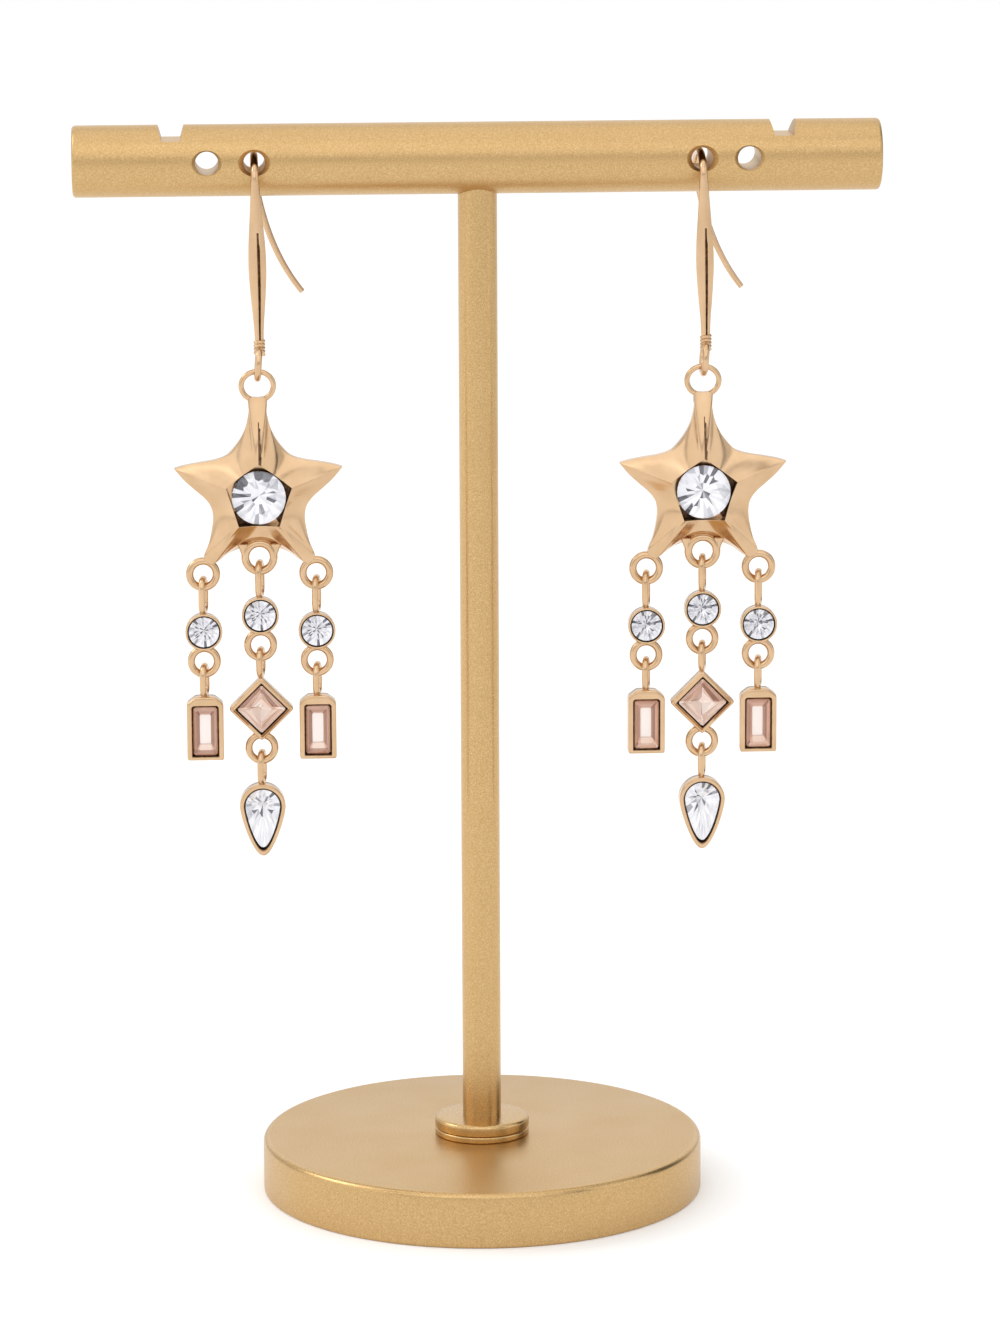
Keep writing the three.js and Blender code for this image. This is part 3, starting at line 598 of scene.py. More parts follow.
def add_cast(name, shape, place, body, node, sharp=35.0):
    """A rose gold piece at a place, with its shape's dark faces given painted shade."""
    part, dark = shape
    piece = add_piece(name, moved(part, place), [rose_gold(), dark_seam()], body, [node],
                      sharp)
    paint(piece, dark)


def bands(count, *numbers):
    """Numbers of the faces in the bands of a skin with count points to a ring."""
    return [number * count + i for number in numbers for i in range(count)]


def star_centre(side):
    """Middle of a star's stone, in the plane of its rings."""
    stone_low, stone_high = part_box(f"{side}_star_stone")
    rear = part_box(f"{side}_star")[1].y
    middle = (stone_low + stone_high) / 2
    return np.array((middle.x, rear - star.back * MM, middle.z)) / MM


def stone_centre(side, node):
    """Middle of a drop's stone, in the plane of the star's rings."""
    low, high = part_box(f"{side}_{node}")
    z = (low.z + high.z) / 2 / MM
    if node == "pear_stone":
        z = high.z / MM - pear.width / 2 + pear.wall + drop.gap
    return np.array(((low.x + high.x) / 2 / MM, star_centre(side)[1], z))


# Stand


def bored_bar(segments):
    """The crossbar with its notches and holes cut, as a part."""
    half = bar.length / 2
    end = rounded_rim(bar.radius, half, bar.edge)
    rows = [(hub.rod, -half), *((r, -z) for r, z in reversed(end)), *end, (hub.rod, half)]
    points, faces = turned(rows, segments)
    rod = mesh_object("bar_rod", (points[:, [2, 1, 0]] * np.array((1, 1, -1)), faces))
    tools = [mesh_object("bar_cutter", cutter) for cutter in bar_cutters()]
    for tool in tools:
        cut = rod.modifiers.new("cut", "BOOLEAN")
        cut.operation, cut.solver, cut.object = "DIFFERENCE", "EXACT", tool
    part = evaluated_part(rod)
    for tool in tools:
        bpy.data.meshes.remove(tool.data)
    return moved(part, (0, 0, bar.axis))


def bar_cutters():
    """Parts that cut the bar's holes and notches, about its axis."""
    cutters = []
    outer = bar.radius + SPARE
    for side in SIDES.values():
        for hole in (view_hole, hook_hole):
            inner = math.sqrt(bar.radius ** 2 - (hole.radius + hole.chamfer) ** 2) - hole.chamfer
            wide = hole.radius + outer - inner
            rows = [(hub.rod, -outer), (wide, -outer), (hole.radius, -inner), (hole.radius, inner),
                    (wide, outer), (hub.rod, outer)]
            cutter = turned(rows, STEPS.hole_sides, "Y")
            cutters.append(moved(cutter, (side * hole.offset, 0, 0)))
        top = notch.top / 2 + (notch.top - notch.bottom) / 2 / notch.depth * SPARE
        low = bar.radius - notch.depth
        section = [(-notch.bottom / 2, low), (notch.bottom / 2, low), (top, outer), (-top, outer)]
        cutters.append(skin([[(side * notch.offset + x, y, z) for x, z in section]
                             for y in (-outer, outer)]))
    return cutters


def collar_rows():
    """Profile of the collar: a lip below a thicker ring."""
    inner = post.radius + collar.fit
    rows = [(inner, 0.0), *rounded_rim(collar.radius, 0.0, collar.lip_edge, down=True),
            *rounded_rim(collar.radius, collar.lip, collar.lip_edge),
            *rounded_rim(collar.radius, collar.lip, collar.step_edge, down=True),
            *rounded_rim(collar.radius, collar.thickness, collar.edge), (inner, collar.thickness)]
    return [(r, z + base.thickness) for r, z in rows]


class EARRING_OT_stand(bpy.types.Operator):
    """Build the base disc, the collar, the post and the crossbar."""

    bl_idname = "earring.stand"
    bl_label = "Stand"

    def execute(self, context):
        options = context.scene.earring_stand
        gold = satin_gold("blasted_gold", 0.35, 0.5)
        smooth_gold = satin_gold("brushed_gold", 0.27, 0.14)
        floor = base.thickness
        rim = rounded_rim(base.radius, floor, base.edge)
        rows = [(hub.disc, 0.0), *rounded_rim(base.radius, 0.0, base.foot, down=True), *rim,
                (hub.disc, floor)]
        disc = add_piece("base_shell", turned(rows, options.base_segments), [gold, smooth_gold],
                         "stand", ["base_disc"])
        paint(disc, bands(options.base_segments, *range(len(rows) - len(rim), len(rows) - 2)))
        add_piece("collar_shell", turned(collar_rows(), options.segments), [smooth_gold],
                  "stand", ["collar"])
        rows = [(hub.disc, floor), (post.radius, floor), (post.radius, post.top),
                (hub.disc, post.top)]
        add_piece("post_shell", turned(rows, options.segments), [smooth_gold],
                  "stand", ["post"])
        add_piece("crossbar_shell", bored_bar(options.segments), [gold],
                  "stand", ["crossbar"], sharp=28.0)
        return {"FINISHED"}


# Ear hooks


def hook_shape():
    """Arch of the hook in the bar's hole: its radius, end slope, stand-off and leg top."""
    sag = hook.crown + hook.seat
    radius = (bar.radius ** 2 + sag ** 2) / (2 * sag)
    slope = math.asin(bar.radius / radius)
    stand_off = bar.radius + hook.bend * (1 - math.sin(slope))
    return radius, slope, stand_off, -hook.seat - hook.bend * math.cos(slope)


def hook_rows():
    """Rows along the hook of (x, y, z, half width, half depth)."""
    radius, slope, stand_off, leg_top = hook_shape()
    thin = hook.wire / 2
    quarter = math.pi / 2 - slope

    def bend(turn, side):
        y = side * (stand_off - hook.bend * (1 - math.cos(turn)))
        return 0, y, leg_top + hook.bend * math.sin(turn), thin, thin

    rows = []
    for i in range(STEPS.leg + 1):
        share = i / STEPS.leg
        z = -hook.eye_drop + (leg_top + hook.eye_drop) * share
        rows.append((hook.lean * (1 - share) ** bent.lean_fade, -stand_off, z, *eased_leaf(share)))
    rows += [bend(quarter * i / STEPS.bend, -1) for i in range(1, STEPS.bend + 1)]
    for i in range(1, STEPS.crown):
        turn = -slope + 2 * slope * i / STEPS.crown
        z = hook.crown - radius * (1 - math.cos(turn))
        rows.append((0, radius * math.sin(turn), z, thin, thin))
    rows += [bend(quarter * (1 - i / STEPS.bend), 1) for i in range(STEPS.bend + 1)]
    for i in range(1, STEPS.tail + 1):
        t = i / STEPS.tail
        pull, tip = 2 * t * (1 - t), t * t
        x = hook.tail_reach * (bent.tail_sway * pull + tip)
        z = leg_top - hook.tail_length * (bent.tail_fall * pull + tip)
        thick = thin + (hook.tail_wire / 2 - thin) * math.sqrt(t)
        rows.append((x, stand_off + hook.tail_back * tip, z, thick, thick))
    return np.array(rows)


def hook_wire():
    """The hook's wire with a groove down its leaf, and the numbers of the groove's front faces,
    which get painted shade.
    """
    rows = hook_rows()
    rings, dark = [], []
    sides = STEPS.hook_sides
    a, middle = round_angles(sides), round_angles(sides, 0.5)
    off_groove = np.abs(np.cos(a) - groove.off_middle) / groove.half_width
    in_groove = np.clip(1 - off_groove, 0, None)
    near = np.abs(np.cos(middle) - groove.off_middle) < groove.dark_half
    for i, (x, y, z, across, deep) in enumerate(rows):
        along = rows[min(i + 1, len(rows) - 1), :3] - rows[max(i - 1, 0), :3]
        along /= np.linalg.norm(along)
        wide = np.array((1.0, 0, 0)) - along * along[0]
        wide /= np.linalg.norm(wide)
        out = np.cross(along, wide)
        leaf = min(max(across / deep - 1.0, 0.0), 1.0)
        cut = float(np.interp(i / STEPS.leg, *zip(*GROOVE)))
        plain = np.sin(a)
        ridge = np.copysign(1 - np.abs(np.cos(a)), plain)
        lift = plain + (ridge - plain) * bent.ridge * leaf
        lift *= np.where(plain * out[1] < 0, 1 - cut * in_groove, 1)
        ring = np.outer(np.cos(a), wide * across) + np.outer(lift, out * deep)
        rings.append(ring + np.array((x, y, z)))
        if cut > groove.dark_from:
            shown = np.flatnonzero(near & (np.sin(middle) * out[1] < 0))
            dark += (i * sides + shown).tolist()
    return skin(rings), dark


def hook_paths():
    """Paths of the hook's eye and of the wire wrapped above it."""
    stand_off = hook_shape()[2]
    middle = -hook.eye_drop + hook.eye_wire / 2 - hook.eye_height / 2
    points, radius, ring = loop_path(hook.eye_height, hook.eye_height, hook.eye_wire, math.pi / 2)
    lean = math.atan2(hook.lean, hook.eye_height)
    points = points + points[:, 2:3] * np.array((math.sin(lean), 0, 0))
    points = points + np.array((hook.lean / 2, -stand_off, middle))
    coil = []
    around = hook.eye_wire * bent.wrap_around
    for i in range(STEPS.wrap + 1):
        turns = hook.wrap_turns * i / STEPS.wrap
        a = 2 * math.pi * turns
        z = -hook.eye_drop + hook.wrap_low + hook.wrap_wire * bent.wrap_pitch * turns
        coil.append((hook.lean + around * math.cos(a), -stand_off + around * math.sin(a), z))
    return [(points, radius, ring), (np.array(coil), hook.wrap_wire / 2, False)]


class EARRING_OT_hooks(bpy.types.Operator):
    """Build both ear hooks."""

    bl_idname = "earring.hooks"
    bl_label = "Ear hooks"

    def execute(self, context):
        wire, dark = hook_wire()
        sides = context.scene.earring_metal.wire_sides
        shape = together([wire, wires(hook_paths(), sides, rose_gold())])
        for name, side in SIDES.items():
            add_cast(f"{name}_hook_wire", (shape, dark), (side * hook_hole.offset, 0, bar.axis),
                     "stand", f"{name}_ear_hook")
        return {"FINISHED"}


# Stars


def star_sectors(steps):
    """For each fluted face: its front and rear outlines and the share of the way at each point."""
    def flipped(rows):
        return tuple((-x, z) for x, z in reversed(rows))

    pairs = ((SHOULDER, SHOULDER), (FLANK, FLANK),
             (ARCH_FRONT + flipped(ARCH_FRONT)[1:], ARCH_BACK + flipped(ARCH_BACK)[1:]),
             (flipped(FLANK), flipped(FLANK)), (flipped(SHOULDER), flipped(SHOULDER)))
    sectors = []
    for front, back in pairs:
        outline, shares = curve_through(front, steps)
        sectors.append((outline * star.reach, curve_through(back, steps)[0] * star.reach, shares))
    return sectors


def star_body(options):
    """The star's cast body about the middle of its stone, and the numbers of its faces that get
    painted shade and a painted dark reflection.
    """
    depths = np.linspace(0, 1, options.depth_steps + 1)
    angles = [math.pi / 2 - i * 2 * math.pi / 5 for i in range(6)]
    corners = np.array([(math.cos(a), math.sin(a)) for a in angles]) * star.pocket
    floor, faces, rear_ring, shadow = [], [[] for _ in depths], [], []
    for number, (outline, rear, shares) in enumerate(star_sectors(options.row_steps)):
        for k, share in enumerate(shares[:-1]):
            rim = corners[number] * (1 - share) + corners[number + 1] * share
            ridge = abs(2 * share - 1)
            low_right = abs(number + share - 3) < shade_paint.corner
            # Painted shade: the pocket's wall and floor on the right-hand faces and near a lower
            # corner
            if number == 0 and share > 0.5 or number == 1 or low_right:
                shadow.append(len(floor))
            up_rim = star.thickness * (star.valley + (1 - star.valley) * ridge ** star.rim_ease)
            curve = 1 + SCOOPS[number] * (1 - ridge)
            low_rim = star.edge + (star.arch_lift * (1 - ridge) if number == 2 else 0)
            floor.append((rim[0], star.back - star.floor, rim[1]))
            for ring, t in zip(faces, depths):
                at = rim * (1 - t) + outline[k] * t
                up = low_rim + (up_rim - low_rim) * (1 - t) ** curve
                ring.append((at[0], star.back - up, at[1]))
            rear_ring.append((rear[k][0], star.back, rear[k][1]))
    count = len(floor)
    dark = [band * count + i for band in (0, len(faces) + 1) for i in shadow]
    # Painted dark reflection: the faces beside the top ridge, widest near the pocket
    for band, t in enumerate(depths):
        wide = 1 + round(shade_paint.widening * (1 - t / shade_paint.crease))
        if t < shade_paint.crease:
            dark += [(band + 1) * count + i for i in range(wide)]
    return skin([floor, *faces, rear_ring]), dark


def strut(side):
    """Shoulder between the arch and the middle ring."""
    out = side * (star.middle_hole + star.middle_wire) / 2
    rise = ARCH_BACK[-2][1] * star.reach + star.edge * struts.top + star.middle_down
    deep = star.middle_wire * struts.depth
    angles = round_angles(STEPS.strut_sides)
    rings = []
    for t in np.linspace(0, 1, STEPS.strut + 1):
        x, z = out * (1 + struts.spread * t), -star.middle_down + rise * t
        across = star.middle_wire * (struts.width + struts.swell * t * t)
        rings.append([(x + across * math.cos(a), deep * math.sin(a), z) for a in angles])
    return skin(rings)


def star_paths():
    """Paths of the star's top ring, leg rings and middle ring."""
    middle = star.middle_hole + 2 * star.middle_wire
    paths = [
        loop_path(star.ring_width, star.ring_height, star.ring_wire, centre=(0, 0, star.ring_up)),
        loop_path(middle, middle, star.middle_wire, centre=(0, 0, -star.middle_down)),
    ]
    for side in SIDES.values():
        centre = (side * star.leg_out, 0, -star.leg_down)
        paths.append(loop_path(star.leg_width, star.leg_width, star.leg_wire, centre=centre))
    return paths


class EARRING_OT_stars(bpy.types.Operator):
    """Build both cast stars with their rings."""

    bl_idname = "earring.stars"
    bl_label = "Stars"

    def execute(self, context):
        options = context.scene.earring_metal
        rings = wires(star_paths(), options.wire_sides, rose_gold())
        body, dark = star_body(options)
        shape = together([body, *(strut(side) for side in SIDES.values()), rings])
        for name in SIDES:
            add_cast(f"{name}_star_cast", (shape, dark), star_centre(name), f"{name}_star_drop",
                     f"{name}_star", sharp=24.0)
        return {"FINISHED"}


# Settings, about the middle of their stone


def inset(corners, distance):
    """Corners of a polygon, clockwise or not, with every edge moved inwards."""
    corners = np.array(corners)
    along = np.roll(corners, -1, axis=0) - corners
    area = np.sum(corners[:, 0] * along[:, 1] - corners[:, 1] * along[:, 0])
    along /= np.linalg.norm(along, axis=1)[:, None]
    after = np.sign(area) * np.stack([-along[:, 1], along[:, 0]], axis=1)
    before = np.roll(after, 1, axis=0)
    return corners + (before + after) * distance / (1 + np.sum(before * after, axis=1))[:, None]


def rounded(corners, radius, steps=6):
    """Outline of a polygon with each corner rounded, with the same number of points at each."""
    outline = []
    for i, here in enumerate(corners):
        to_before, to_after = corners[i - 1] - here, corners[(i + 1) % len(corners)] - here
        reach = [np.linalg.norm(edge) for edge in (to_before, to_after)]
        cut = min(radius, reach[0] * CORNER_SHARE, reach[1] * CORNER_SHARE)
        a, b = here + to_before / reach[0] * cut, here + to_after / reach[1] * cut
        for t in np.linspace(0, 1, steps + 1):
            outline.append(a * (1 - t) ** 2 + here * 2 * t * (1 - t) + b * t * t)
    return np.array(outline)


def frame_part(outer, inner, bevel, slope=0.0):
    """Tray from outlines that take an inset, with its faces round and behind the stone that get
    painted shade; slope drops the outer edge.
    """
    front, back = -drop.depth / 2, drop.depth / 2
    lip, ease = drop.lip, drop.lip * EASE_SHARE
    rows = [(inner, 0, back - drop.floor), (inner, 0, front + lip), (inner, -ease, front + ease),
            (inner, -lip, front)]
    for i in range(STEPS.bevel + 1):
        a = math.pi / 2 * i / STEPS.bevel
        rows.append((outer, bevel * (1 - math.sin(a)), front + slope + bevel * (1 - math.cos(a))))
    eased = bevel * EASE_SHARE
    rows += [(outer, 0, back - bevel), (outer, eased, back - eased), (outer, bevel, back)]
    rings = [[(x, y, z) for x, z in outline(distance)] for outline, distance, y in rows]
    return skin(rings), bands(len(rings[0]), 0, 1, 2, len(rings) - 1)


def cup_part():
    """Round cup with a thin bezel, and the numbers of its faces round the stone that get painted
    shade.
    """
    back = drop.depth / 2
    inner = round_cup.stone + drop.gap
    lip = (round_cup.radius - inner) / 2
    rows = [(hub.disc, back), *((round_cup.radius * out, back * deep) for out, deep in CUP_BACK)]
    for i in range(STEPS.lip + 1):
        a = math.pi * i / STEPS.lip
        rows.append((inner + lip + lip * math.cos(a), -back + lip - lip * math.sin(a)))
    rows += [(inner, back - drop.floor), (hub.disc, back - drop.floor)]
    dark = bands(STEPS.cup_sides, *range(len(rows) - 5, len(rows) - 1))
    return turned(rows, STEPS.cup_sides, "Y"), dark


def baguette_corners(distance):
    """Corners of the baguette's frame."""
    x, top = baguette.width / 2, baguette.height / 2
    near, side = x - baguette.shoulder_x, top - baguette.shoulder_z
    corners = [(-x, -top), (x, -top), (x, side), (near, top), (-near, top), (-x, side)]
    return inset(np.array(corners) + (0, baguette.low), distance)


def window_corners(distance):
    """Corners of the baguette's window, its two upper ones cut."""
    x, z = baguette.stone_x / 2 + drop.gap, baguette.stone_z / 2 + drop.gap
    cut = baguette.window_cut
    corners = [(-x, -z), (x, -z), (x, z - cut), (x - cut, z), (-x + cut, z), (-x, z - cut)]
    return inset(corners, distance)


def turned_square(half):
    """Corners of a square on its point."""
    reach = half * math.sqrt(2)
    return np.array([(0, reach), (reach, 0), (0, -reach), (-reach, 0)])


def pear_point(width, height, a):
    """Point at an angle on the outline of a pear, round at the top, about its widest place."""
    radius, tail = width / 2, height - width / 2
    down = max(-math.sin(a), 0)
    x = radius * math.cos(a) * (1 - pear.waist * down ** pear.waist_power)
    return x, -tail * down ** pear.point_power if down else radius * math.sin(a)


def pear_outline(distance, steps=96):
    """Outline of the pear's frame, inset by a distance."""
    width, height = pear.width - 2 * distance, pear.height - 2 * pear.taper * distance
    return np.array([pear_point(width, height, a) for a in round_angles(steps)])


def drop_loops(top, hang, bottom=None, overlap=drop.lower_overlap):
    """Paths of a setting's upright top loop and of its flat lower loop."""
    height = hang + drop.top_wire + drop.root
    width = drop.top_gap + 2 * drop.top_wire
    centre = (0, 0, top + hang + drop.top_wire - height / 2)
    paths = [loop_path(width, height, drop.top_wire, math.radians(90 - drop.turn), centre)]
    if bottom is not None:
        wire = (drop.lower_width - drop.lower_hole) / 2
        centre = (0, 0, bottom + overlap - drop.lower_width / 2)
        paths.append(loop_path(drop.lower_width, drop.lower_width, wire, centre=centre))
    return paths


def setting_shapes(options):
    """Each kind of setting: its shape and the numbers of its dark faces, which get painted shade.
    """
    bevel = options.frame_bevel
    corner = square.side / math.sqrt(2)
    window = square.stone / 2 + drop.gap
    frames = {
        "round": (cup_part(), drop_loops(round_cup.radius, round_cup.hang, -round_cup.radius)),
        "baguette": (
            frame_part(lambda d: rounded(baguette_corners(d), baguette.corner),
                       lambda d: rounded(window_corners(d), baguette.window_corner), bevel),
            drop_loops(baguette.height / 2 + baguette.low, baguette.hang),
        ),
        "square": (
            frame_part(lambda d: rounded(turned_square(square.side / 2 - d), square.corner),
                       lambda d: rounded(turned_square(window - d), square.window_corner),
                       bevel, square.slope),
            drop_loops(corner, square.hang, -corner, square.overlap),
        ),
        "pear": (
            frame_part(pear_outline, lambda d: pear_outline(pear.wall + d), pear.bevel),
            drop_loops(pear.width / 2, pear.hang),
        ),
    }
    return {kind: (together([body, wires(paths, options.wire_sides, rose_gold())]), dark)
            for kind, ((body, dark), paths) in frames.items()}


DROPS = (("round", "_1", "clear"), ("round", "_2", "clear"), ("round", "_3", "clear"),
         ("baguette", "_1", "peach"), ("baguette", "_2", "peach"), ("square", "", "peach"),
         ("pear", "", "clear"))


class EARRING_OT_settings(bpy.types.Operator):
    """Build the settings of all drops with their loops."""

    bl_idname = "earring.settings"
    bl_label = "Settings"

    def execute(self, context):
        shapes = setting_shapes(context.scene.earring_metal)
        for name in SIDES:
            for kind, tag, _ in DROPS:
                place = stone_centre(name, f"{kind}_stone{tag}")
                add_cast(f"{name}_{kind}_frame{tag}", shapes[kind], place, f"{name}_star_drop",
                         f"{name}_{kind}_setting{tag}", sharp=30.0)
        return {"FINISHED"}


# Stones


def brilliant(girdle, crown, pavilion):
    """Brilliant cut about its girdle: its part, the back's faces last, and their number."""
    def row(share, count, y, start=0.0):
        angles = [math.radians(start + 360 / count * i) for i in range(count)]
        return [(share * x, y, share * z) for x, z in map(girdle, angles)]

    half_step = 360 / 16
    waist_rows = [row(share, 32, pavilion * facets.waist_down) for share in facets.waist]
    points = row(facets.table, 8, -crown) + row(facets.star, 8, -crown * facets.star_up, half_step)
    points += row(1, 32, GIRDLE[0]) + row(1, 32, GIRDLE[1])
    points += [waist_rows[i % 2][i] for i in range(32)]
    points += row(facets.deep, 16, pavilion * facets.deep_down)
    points.append((0, pavilion, 0))
    table, star_row, upper, lower, waist, deep, tip = 0, 8, 16, 48, 80, 112, 128
    front = [tuple(range(8))]
    back = []
    for i in range(8):
        after, before = (i + 1) % 8, (i - 1) % 8
        up = [upper + k % 32 for k in range(4 * i, 4 * i + 5)]
        low = [lower + k % 32 for k in range(4 * i, 4 * i + 5)]
        front.append((table + i, star_row + i, table + after))
        front.append((table + i, star_row + before, up[0], star_row + i))
        front.append((star_row + i, up[0], up[1], up[2]))
        front.append((star_row + i, up[2], up[3], up[4]))
        front += [(up[k], low[k], low[k + 1], up[k + 1]) for k in range(4)]
    for i in range(32):
        after = (i + 1) % 32
        back.append((lower + i, waist + i, waist + after, lower + after))
    for i in range(16):
        after, here, side = (i + 1) % 16, waist + 2 * i, waist + (2 * i + 1) % 32
        back.append((here, deep + i, side))
        back.append((side, deep + i, deep + after))
        back.append((side, deep + after, waist + (2 * i + 2) % 32))
        back.append((deep + i, tip, deep + after))
    points = np.array(points)
    return (points, outward(points, front + back)), len(back)


def step_cut(outline, crown, pavilion, table, keel):
    """Stone cut in steps from its girdle: its part, the back's faces last, and their number."""
    wide, high = table
    # Shares of the girdle's width and height and depth of each level, from the table to the keel
    levels = (
        (wide, high, -crown),
        ((2 * wide + 1) / 3 + 0.02, (2 * high + 1) / 3 + 0.02, -crown * 0.74),
        ((wide + 2) / 3 + 0.03, (high + 2) / 3 + 0.02, -crown * 0.42),
        (1, 1, -0.03),
        (1, 1, 0.06),
        (0.74, 0.82, pavilion * 0.42),
        (0.46, 0.62, pavilion * 0.74),
        (*keel, pavilion),
    )
    points, faces = skin([[(x * a, y, z * b) for x, z in outline] for a, b, y in levels])
    count = len(outline)
    front = faces[:4 * count] + faces[7 * count:8 * count]
    back = faces[4 * count:7 * count] + faces[8 * count:]
    return (points, front + back), len(back)


def cut_corners(x, z, corner):
    """Rectangle with cut corners."""
    return [(x, z - corner), (x - corner, z), (-x + corner, z), (-x, z - corner),
            (-x, -z + corner), (-x + corner, -z), (x - corner, -z), (x, -z + corner)]


def stone_shapes():
    """Each kind of stone and the depth of its girdle in its setting."""
    front = -drop.depth / 2
    deep = drop.depth - drop.floor - drop.culet
    oblong = cut_corners(baguette.stone_x / 2, baguette.stone_z / 2, baguette.stone_cut)
    upright = cut_corners(square.stone / 2, square.stone / 2, square.stone_cut)
    on_point = [((x - z) / math.sqrt(2), (x + z) / math.sqrt(2)) for x, z in upright]
    shrink = 2 * (pear.wall + drop.gap)

    def circle(radius):
        return lambda a: (radius * math.cos(a), radius * math.sin(a))

    def pear_girdle(a):
        return pear_point(pear.width - shrink, pear.height - shrink * pear.stone_taper, a)

    def seated(cut, outline, crown, *shares):
        return cut(outline, crown, deep - crown / 2, *shares), front + crown / 2

    star_deep = star_stone.girdle - star.floor - drop.culet
    return {
        "round": seated(brilliant, circle(round_cup.stone), round_cup.crown),
        "baguette": seated(step_cut, oblong, baguette.crown, baguette.table, baguette.keel),
        "square": seated(step_cut, on_point, square.crown, square.table, square.keel),
        "pear": seated(brilliant, pear_girdle, pear.crown),
        "star": (brilliant(circle(star_stone.radius), star_stone.crown, star_deep),
                 star.back - star_stone.girdle),
    }


# Tints of a stone's front and of the foil behind it, from the dark facets to the pale ones; a
# facet's painted brightness picks its tint, standing in for the light it catches
LOOKS = {
    "clear": (((0.30, 0.30, 0.34), (0.9, 0.9, 0.93), (1.0, 1.0, 1.0)),
              ((0.1, 0.1, 0.12), (0.88, 0.88, 0.93), (1.0, 1.0, 1.0))),
    "peach": (((0.50, 0.28, 0.19), (0.7, 0.46, 0.34), (1.0, 0.97, 0.95)),
              ((0.45, 0.27, 0.2), (0.85, 0.66, 0.55), (1.0, 0.97, 0.95))),
}


def add_stone(side, kind, tag, look, shape):
    """A cut stone whose back facets are foil, each with its own painted brightness."""
    (part, back), depth = shape
    tint, shine = LOOKS[look]
    materials = [crystal(f"{look}_crystal", *tint), foil(f"{look}_foil", *shine)]
    name, node = f"{side}_{kind}_crystal{tag}", f"{kind}_stone{tag}"
    centre = stone_centre(side, node)
    obj = add_piece(name, moved(part, centre + np.array((0, depth, 0))), materials,
                    f"{side}_star_drop", [f"{side}_{node}"], sharp=None)
    seed = bpy.context.scene.earring_stones.seed
    dice = random.Random(seed + len(name) + sum(map(ord, kind)))
    mesh = obj.data
    first_back = len(mesh.polygons) - back
    brightest = sparkle.baguette if kind == "baguette" else sparkle.brightest
    tail_top = (centre[2] - pear.width * sparkle.tail_from) * MM
    values = []
    for i, facet in enumerate(mesh.polygons):
        # Front-facing tables and baguette keels get painted highlights and the pear's tail is
        # painted paler; other facets get a random painted brightness
        is_table = facet.normal.y < -sparkle.flat and i < first_back
        is_keel = kind == "baguette" and facet.normal.y > sparkle.flat
        in_tail = kind == "pear" and facet.center.z < tail_top
        low, high = (sparkle.tail, 1) if in_tail else (0, brightest)
        value = low + (high - low) * dice.random()
        values.append(1.0 if is_table or is_keel else value)
    mesh.attributes.new("facet", "FLOAT", "FACE").data.foreach_set("value", values)
    backs = [int(i >= first_back) for i in range(len(mesh.polygons))]
    mesh.polygons.foreach_set("material_index", backs)


class EARRING_OT_stones(bpy.types.Operator):
    """Build the cut stones of both earrings."""

    bl_idname = "earring.stones"
    bl_label = "Stones"

    def execute(self, context):
        shapes = stone_shapes()
        for side in SIDES:
            for kind, tag, look in (("star", "", "clear"), *DROPS):
                add_stone(side, kind, tag, look, shapes[kind])
        return {"FINISHED"}


# Stage

# Where the lights and the cards look
MIDDLE = Vector((0, 0, 0.07))
WARM, SOFT, WHITE = (1.0, 0.97, 0.93), (1.0, 0.99, 0.98), (1.0, 1.0, 1.0)
# Softboxes: the setting of their strength, place, size and colour
SOFTBOXES = (
    ("left_softbox", "key", (-1.25, -0.2, 0.6), (1.5, 1.1), WARM),
    ("rim_softbox", "rim", (-1.2, 0.3, 1.1), (0.75, 0.6), WARM),
    ("right_softbox", "fill", (1.25, -0.4, 0.6), (1.3, 1.1), SOFT),
    ("top_softbox", "top", (-0.1, -0.05, 1.3), (1.5, 1.5), SOFT),
    ("front_softbox", "front", (-0.1, -1.35, 1.1), (2.4, 1.2), SOFT),
    ("back_softbox", "back", (0.1, 1.9, 1.15), (2.8, 1.7), WHITE),
)
# Dark cards beside the object, outside the picture: place and size
CARDS = (
    ("slit_card", (0.98, -0.80, 0.55), (0.14, 0.9)),
    ("side_card", (1.1, 0.45, 0.55), (0.6, 0.85)),
)
FLOOR_SIDE = 16.0


def aim(obj, place):
    """Put an object at a place and turn its -Z axis to the middle of the stand."""
    obj.location = place
    obj.rotation_mode = "QUATERNION"
    obj.rotation_quaternion = (MIDDLE - obj.location).to_track_quat("-Z", "Y")


def softbox(name, power, place, size, colour):
    """Rectangular area light that faces the object."""
    data = bpy.data.lights.new(name, "AREA")
    data.shape = "RECTANGLE"
    data.size, data.size_y = size
    data.energy = power
    data.color = colour
    aim(linked(name, data), place)


def sheet(name, size, material_name, values):
    """Plain sheet of the stage about the origin."""
    x, y = size[0] / 2 / MM, size[1] / 2 / MM
    corners = [(-x, -y, 0), (x, -y, 0), (x, y, 0), (-x, y, 0)]
    material = new_material(material_name, values)[0]
    obj = mesh_object(name, (corners, [(0, 1, 2, 3)]), [material])
    return obj


def make_camera(options):
    """The camera of the photograph."""
    data = bpy.data.cameras.new("camera")
    data.lens = options.lens
    data.sensor_width = 36.0
    data.shift_x = options.shift
    data.clip_start, data.clip_end = 0.01, 50
    obj = linked("camera", data)
    obj.location = options.camera
    p, w = options.pitch, options.yaw
    forward = Vector((math.cos(p) * math.sin(w), math.cos(p) * math.cos(w), -math.sin(p)))
    obj.rotation_mode = "QUATERNION"
    upright = forward.to_track_quat("-Z", "Y")
    obj.rotation_quaternion = upright @ Quaternion((0, 0, 1), -options.roll)
    bpy.context.scene.camera = obj


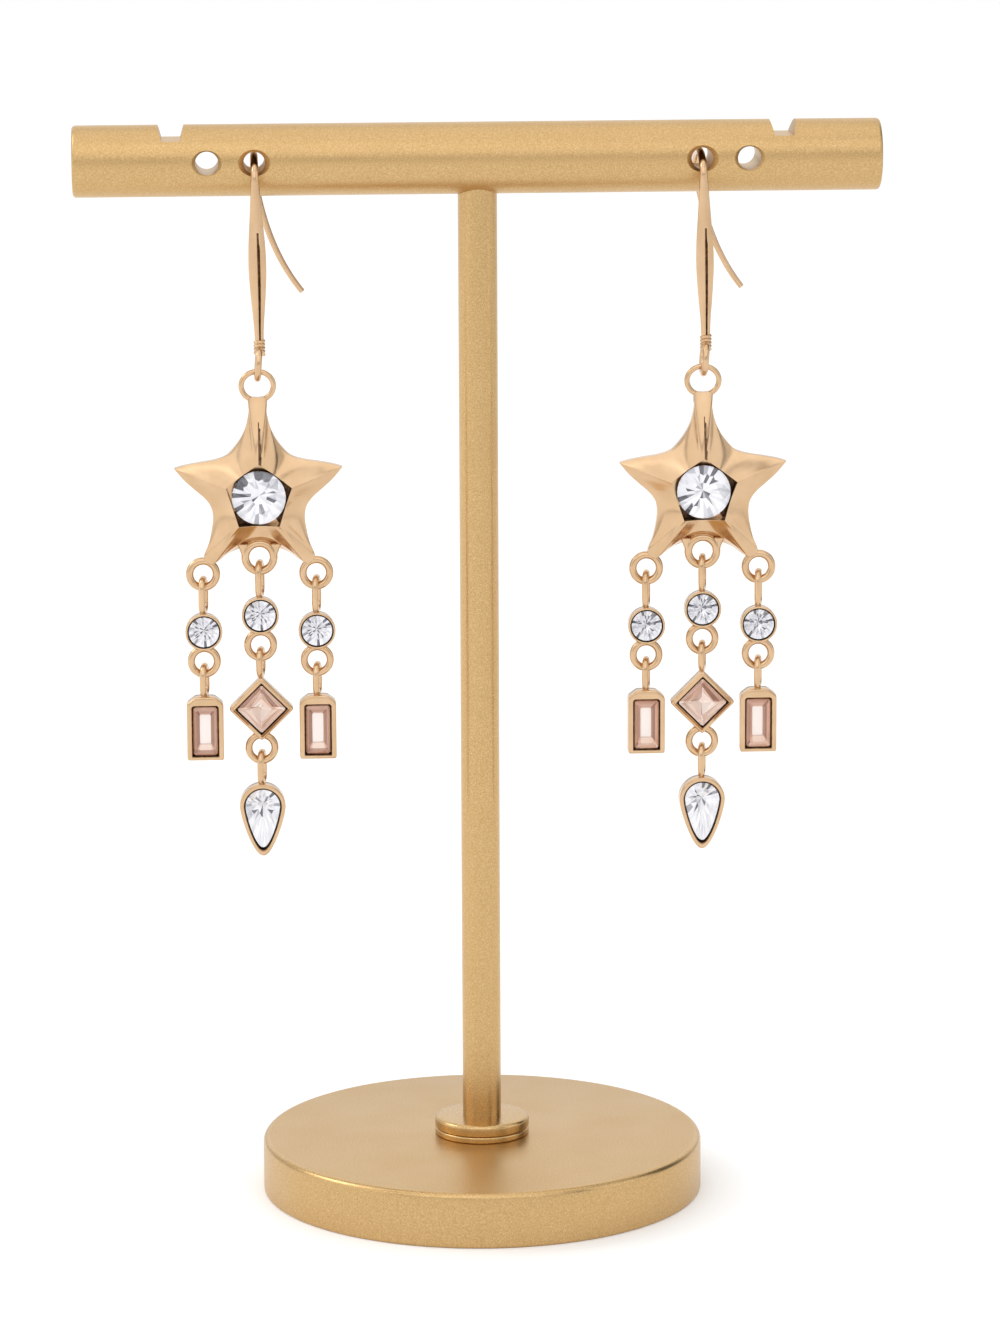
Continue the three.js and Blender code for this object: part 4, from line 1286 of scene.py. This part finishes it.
class EARRING_OT_stage(bpy.types.Operator):
    """Build the floor, the lights and the camera."""

    bl_idname = "earring.stage"
    bl_label = "Stage"

    def execute(self, context):
        options = context.scene.earring_stage
        scene = context.scene
        sheet("floor", (FLOOR_SIDE, FLOOR_SIDE), "floor_white", {
            "Base Color": (0.9, 0.9, 0.9, 1), "Roughness": 0.8,
            "Emission Color": (1, 1, 1, 1), "Emission Strength": options.glow,
        })
        world = bpy.data.worlds.new("white_room")
        world.use_nodes = True
        sky = world.node_tree.nodes["Background"]
        set_inputs(sky, {"Color": (0.98, 0.99, 1.0, 1), "Strength": options.room})
        scene.world = world
        for name, setting, place, size, colour in SOFTBOXES:
            softbox(name, getattr(options, setting), place, size, colour)
        black = {"Base Color": (0.01, 0.01, 0.01, 1), "Roughness": 0.9}
        for name, place, size in CARDS:
            aim(sheet(name, size, name, black), place)
        make_camera(options)
        scene.view_settings.view_transform = "Standard"
        return {"FINISHED"}


class EARRING_PT_panel(bpy.types.Panel):
    """Sidebar panel with the pieces and their settings."""

    bl_label = "Earrings"
    bl_idname = "EARRING_PT_panel"
    bl_space_type = "VIEW_3D"
    bl_region_type = "UI"
    bl_category = "Earrings"

    def draw(self, context):
        layout = self.layout
        for operator, name in GROUPS:
            box = layout.box()
            box.operator(operator)
            settings = getattr(context.scene, name)
            for row in settings.__annotations__:
                box.prop(settings, row)


GROUPS = (
    ("earring.stand", "earring_stand"),
    ("earring.hooks", "earring_metal"),
    ("earring.stars", "earring_metal"),
    ("earring.settings", "earring_metal"),
    ("earring.stones", "earring_stones"),
    ("earring.stage", "earring_stage"),
)
PROPERTIES = {
    "earring_stand": StandSettings,
    "earring_metal": MetalSettings,
    "earring_stones": StoneSettings,
    "earring_stage": StageSettings,
}
CLASSES = (
    *PROPERTIES.values(), EARRING_OT_stand, EARRING_OT_hooks, EARRING_OT_stars,
    EARRING_OT_settings, EARRING_OT_stones, EARRING_OT_stage, EARRING_PT_panel,
)


def register():
    for cls in CLASSES:
        bpy.utils.register_class(cls)
    for name, cls in PROPERTIES.items():
        setattr(bpy.types.Scene, name, PointerProperty(type=cls))


def unregister():
    for name in PROPERTIES:
        delattr(bpy.types.Scene, name)
    for cls in reversed(CLASSES):
        bpy.utils.unregister_class(cls)


def main():
    register()
    bpy.ops.earring.stand()
    bpy.ops.earring.hooks()
    bpy.ops.earring.stars()
    bpy.ops.earring.settings()
    bpy.ops.earring.stones()
    bpy.ops.earring.stage()


if __name__ == "__main__":
    main()
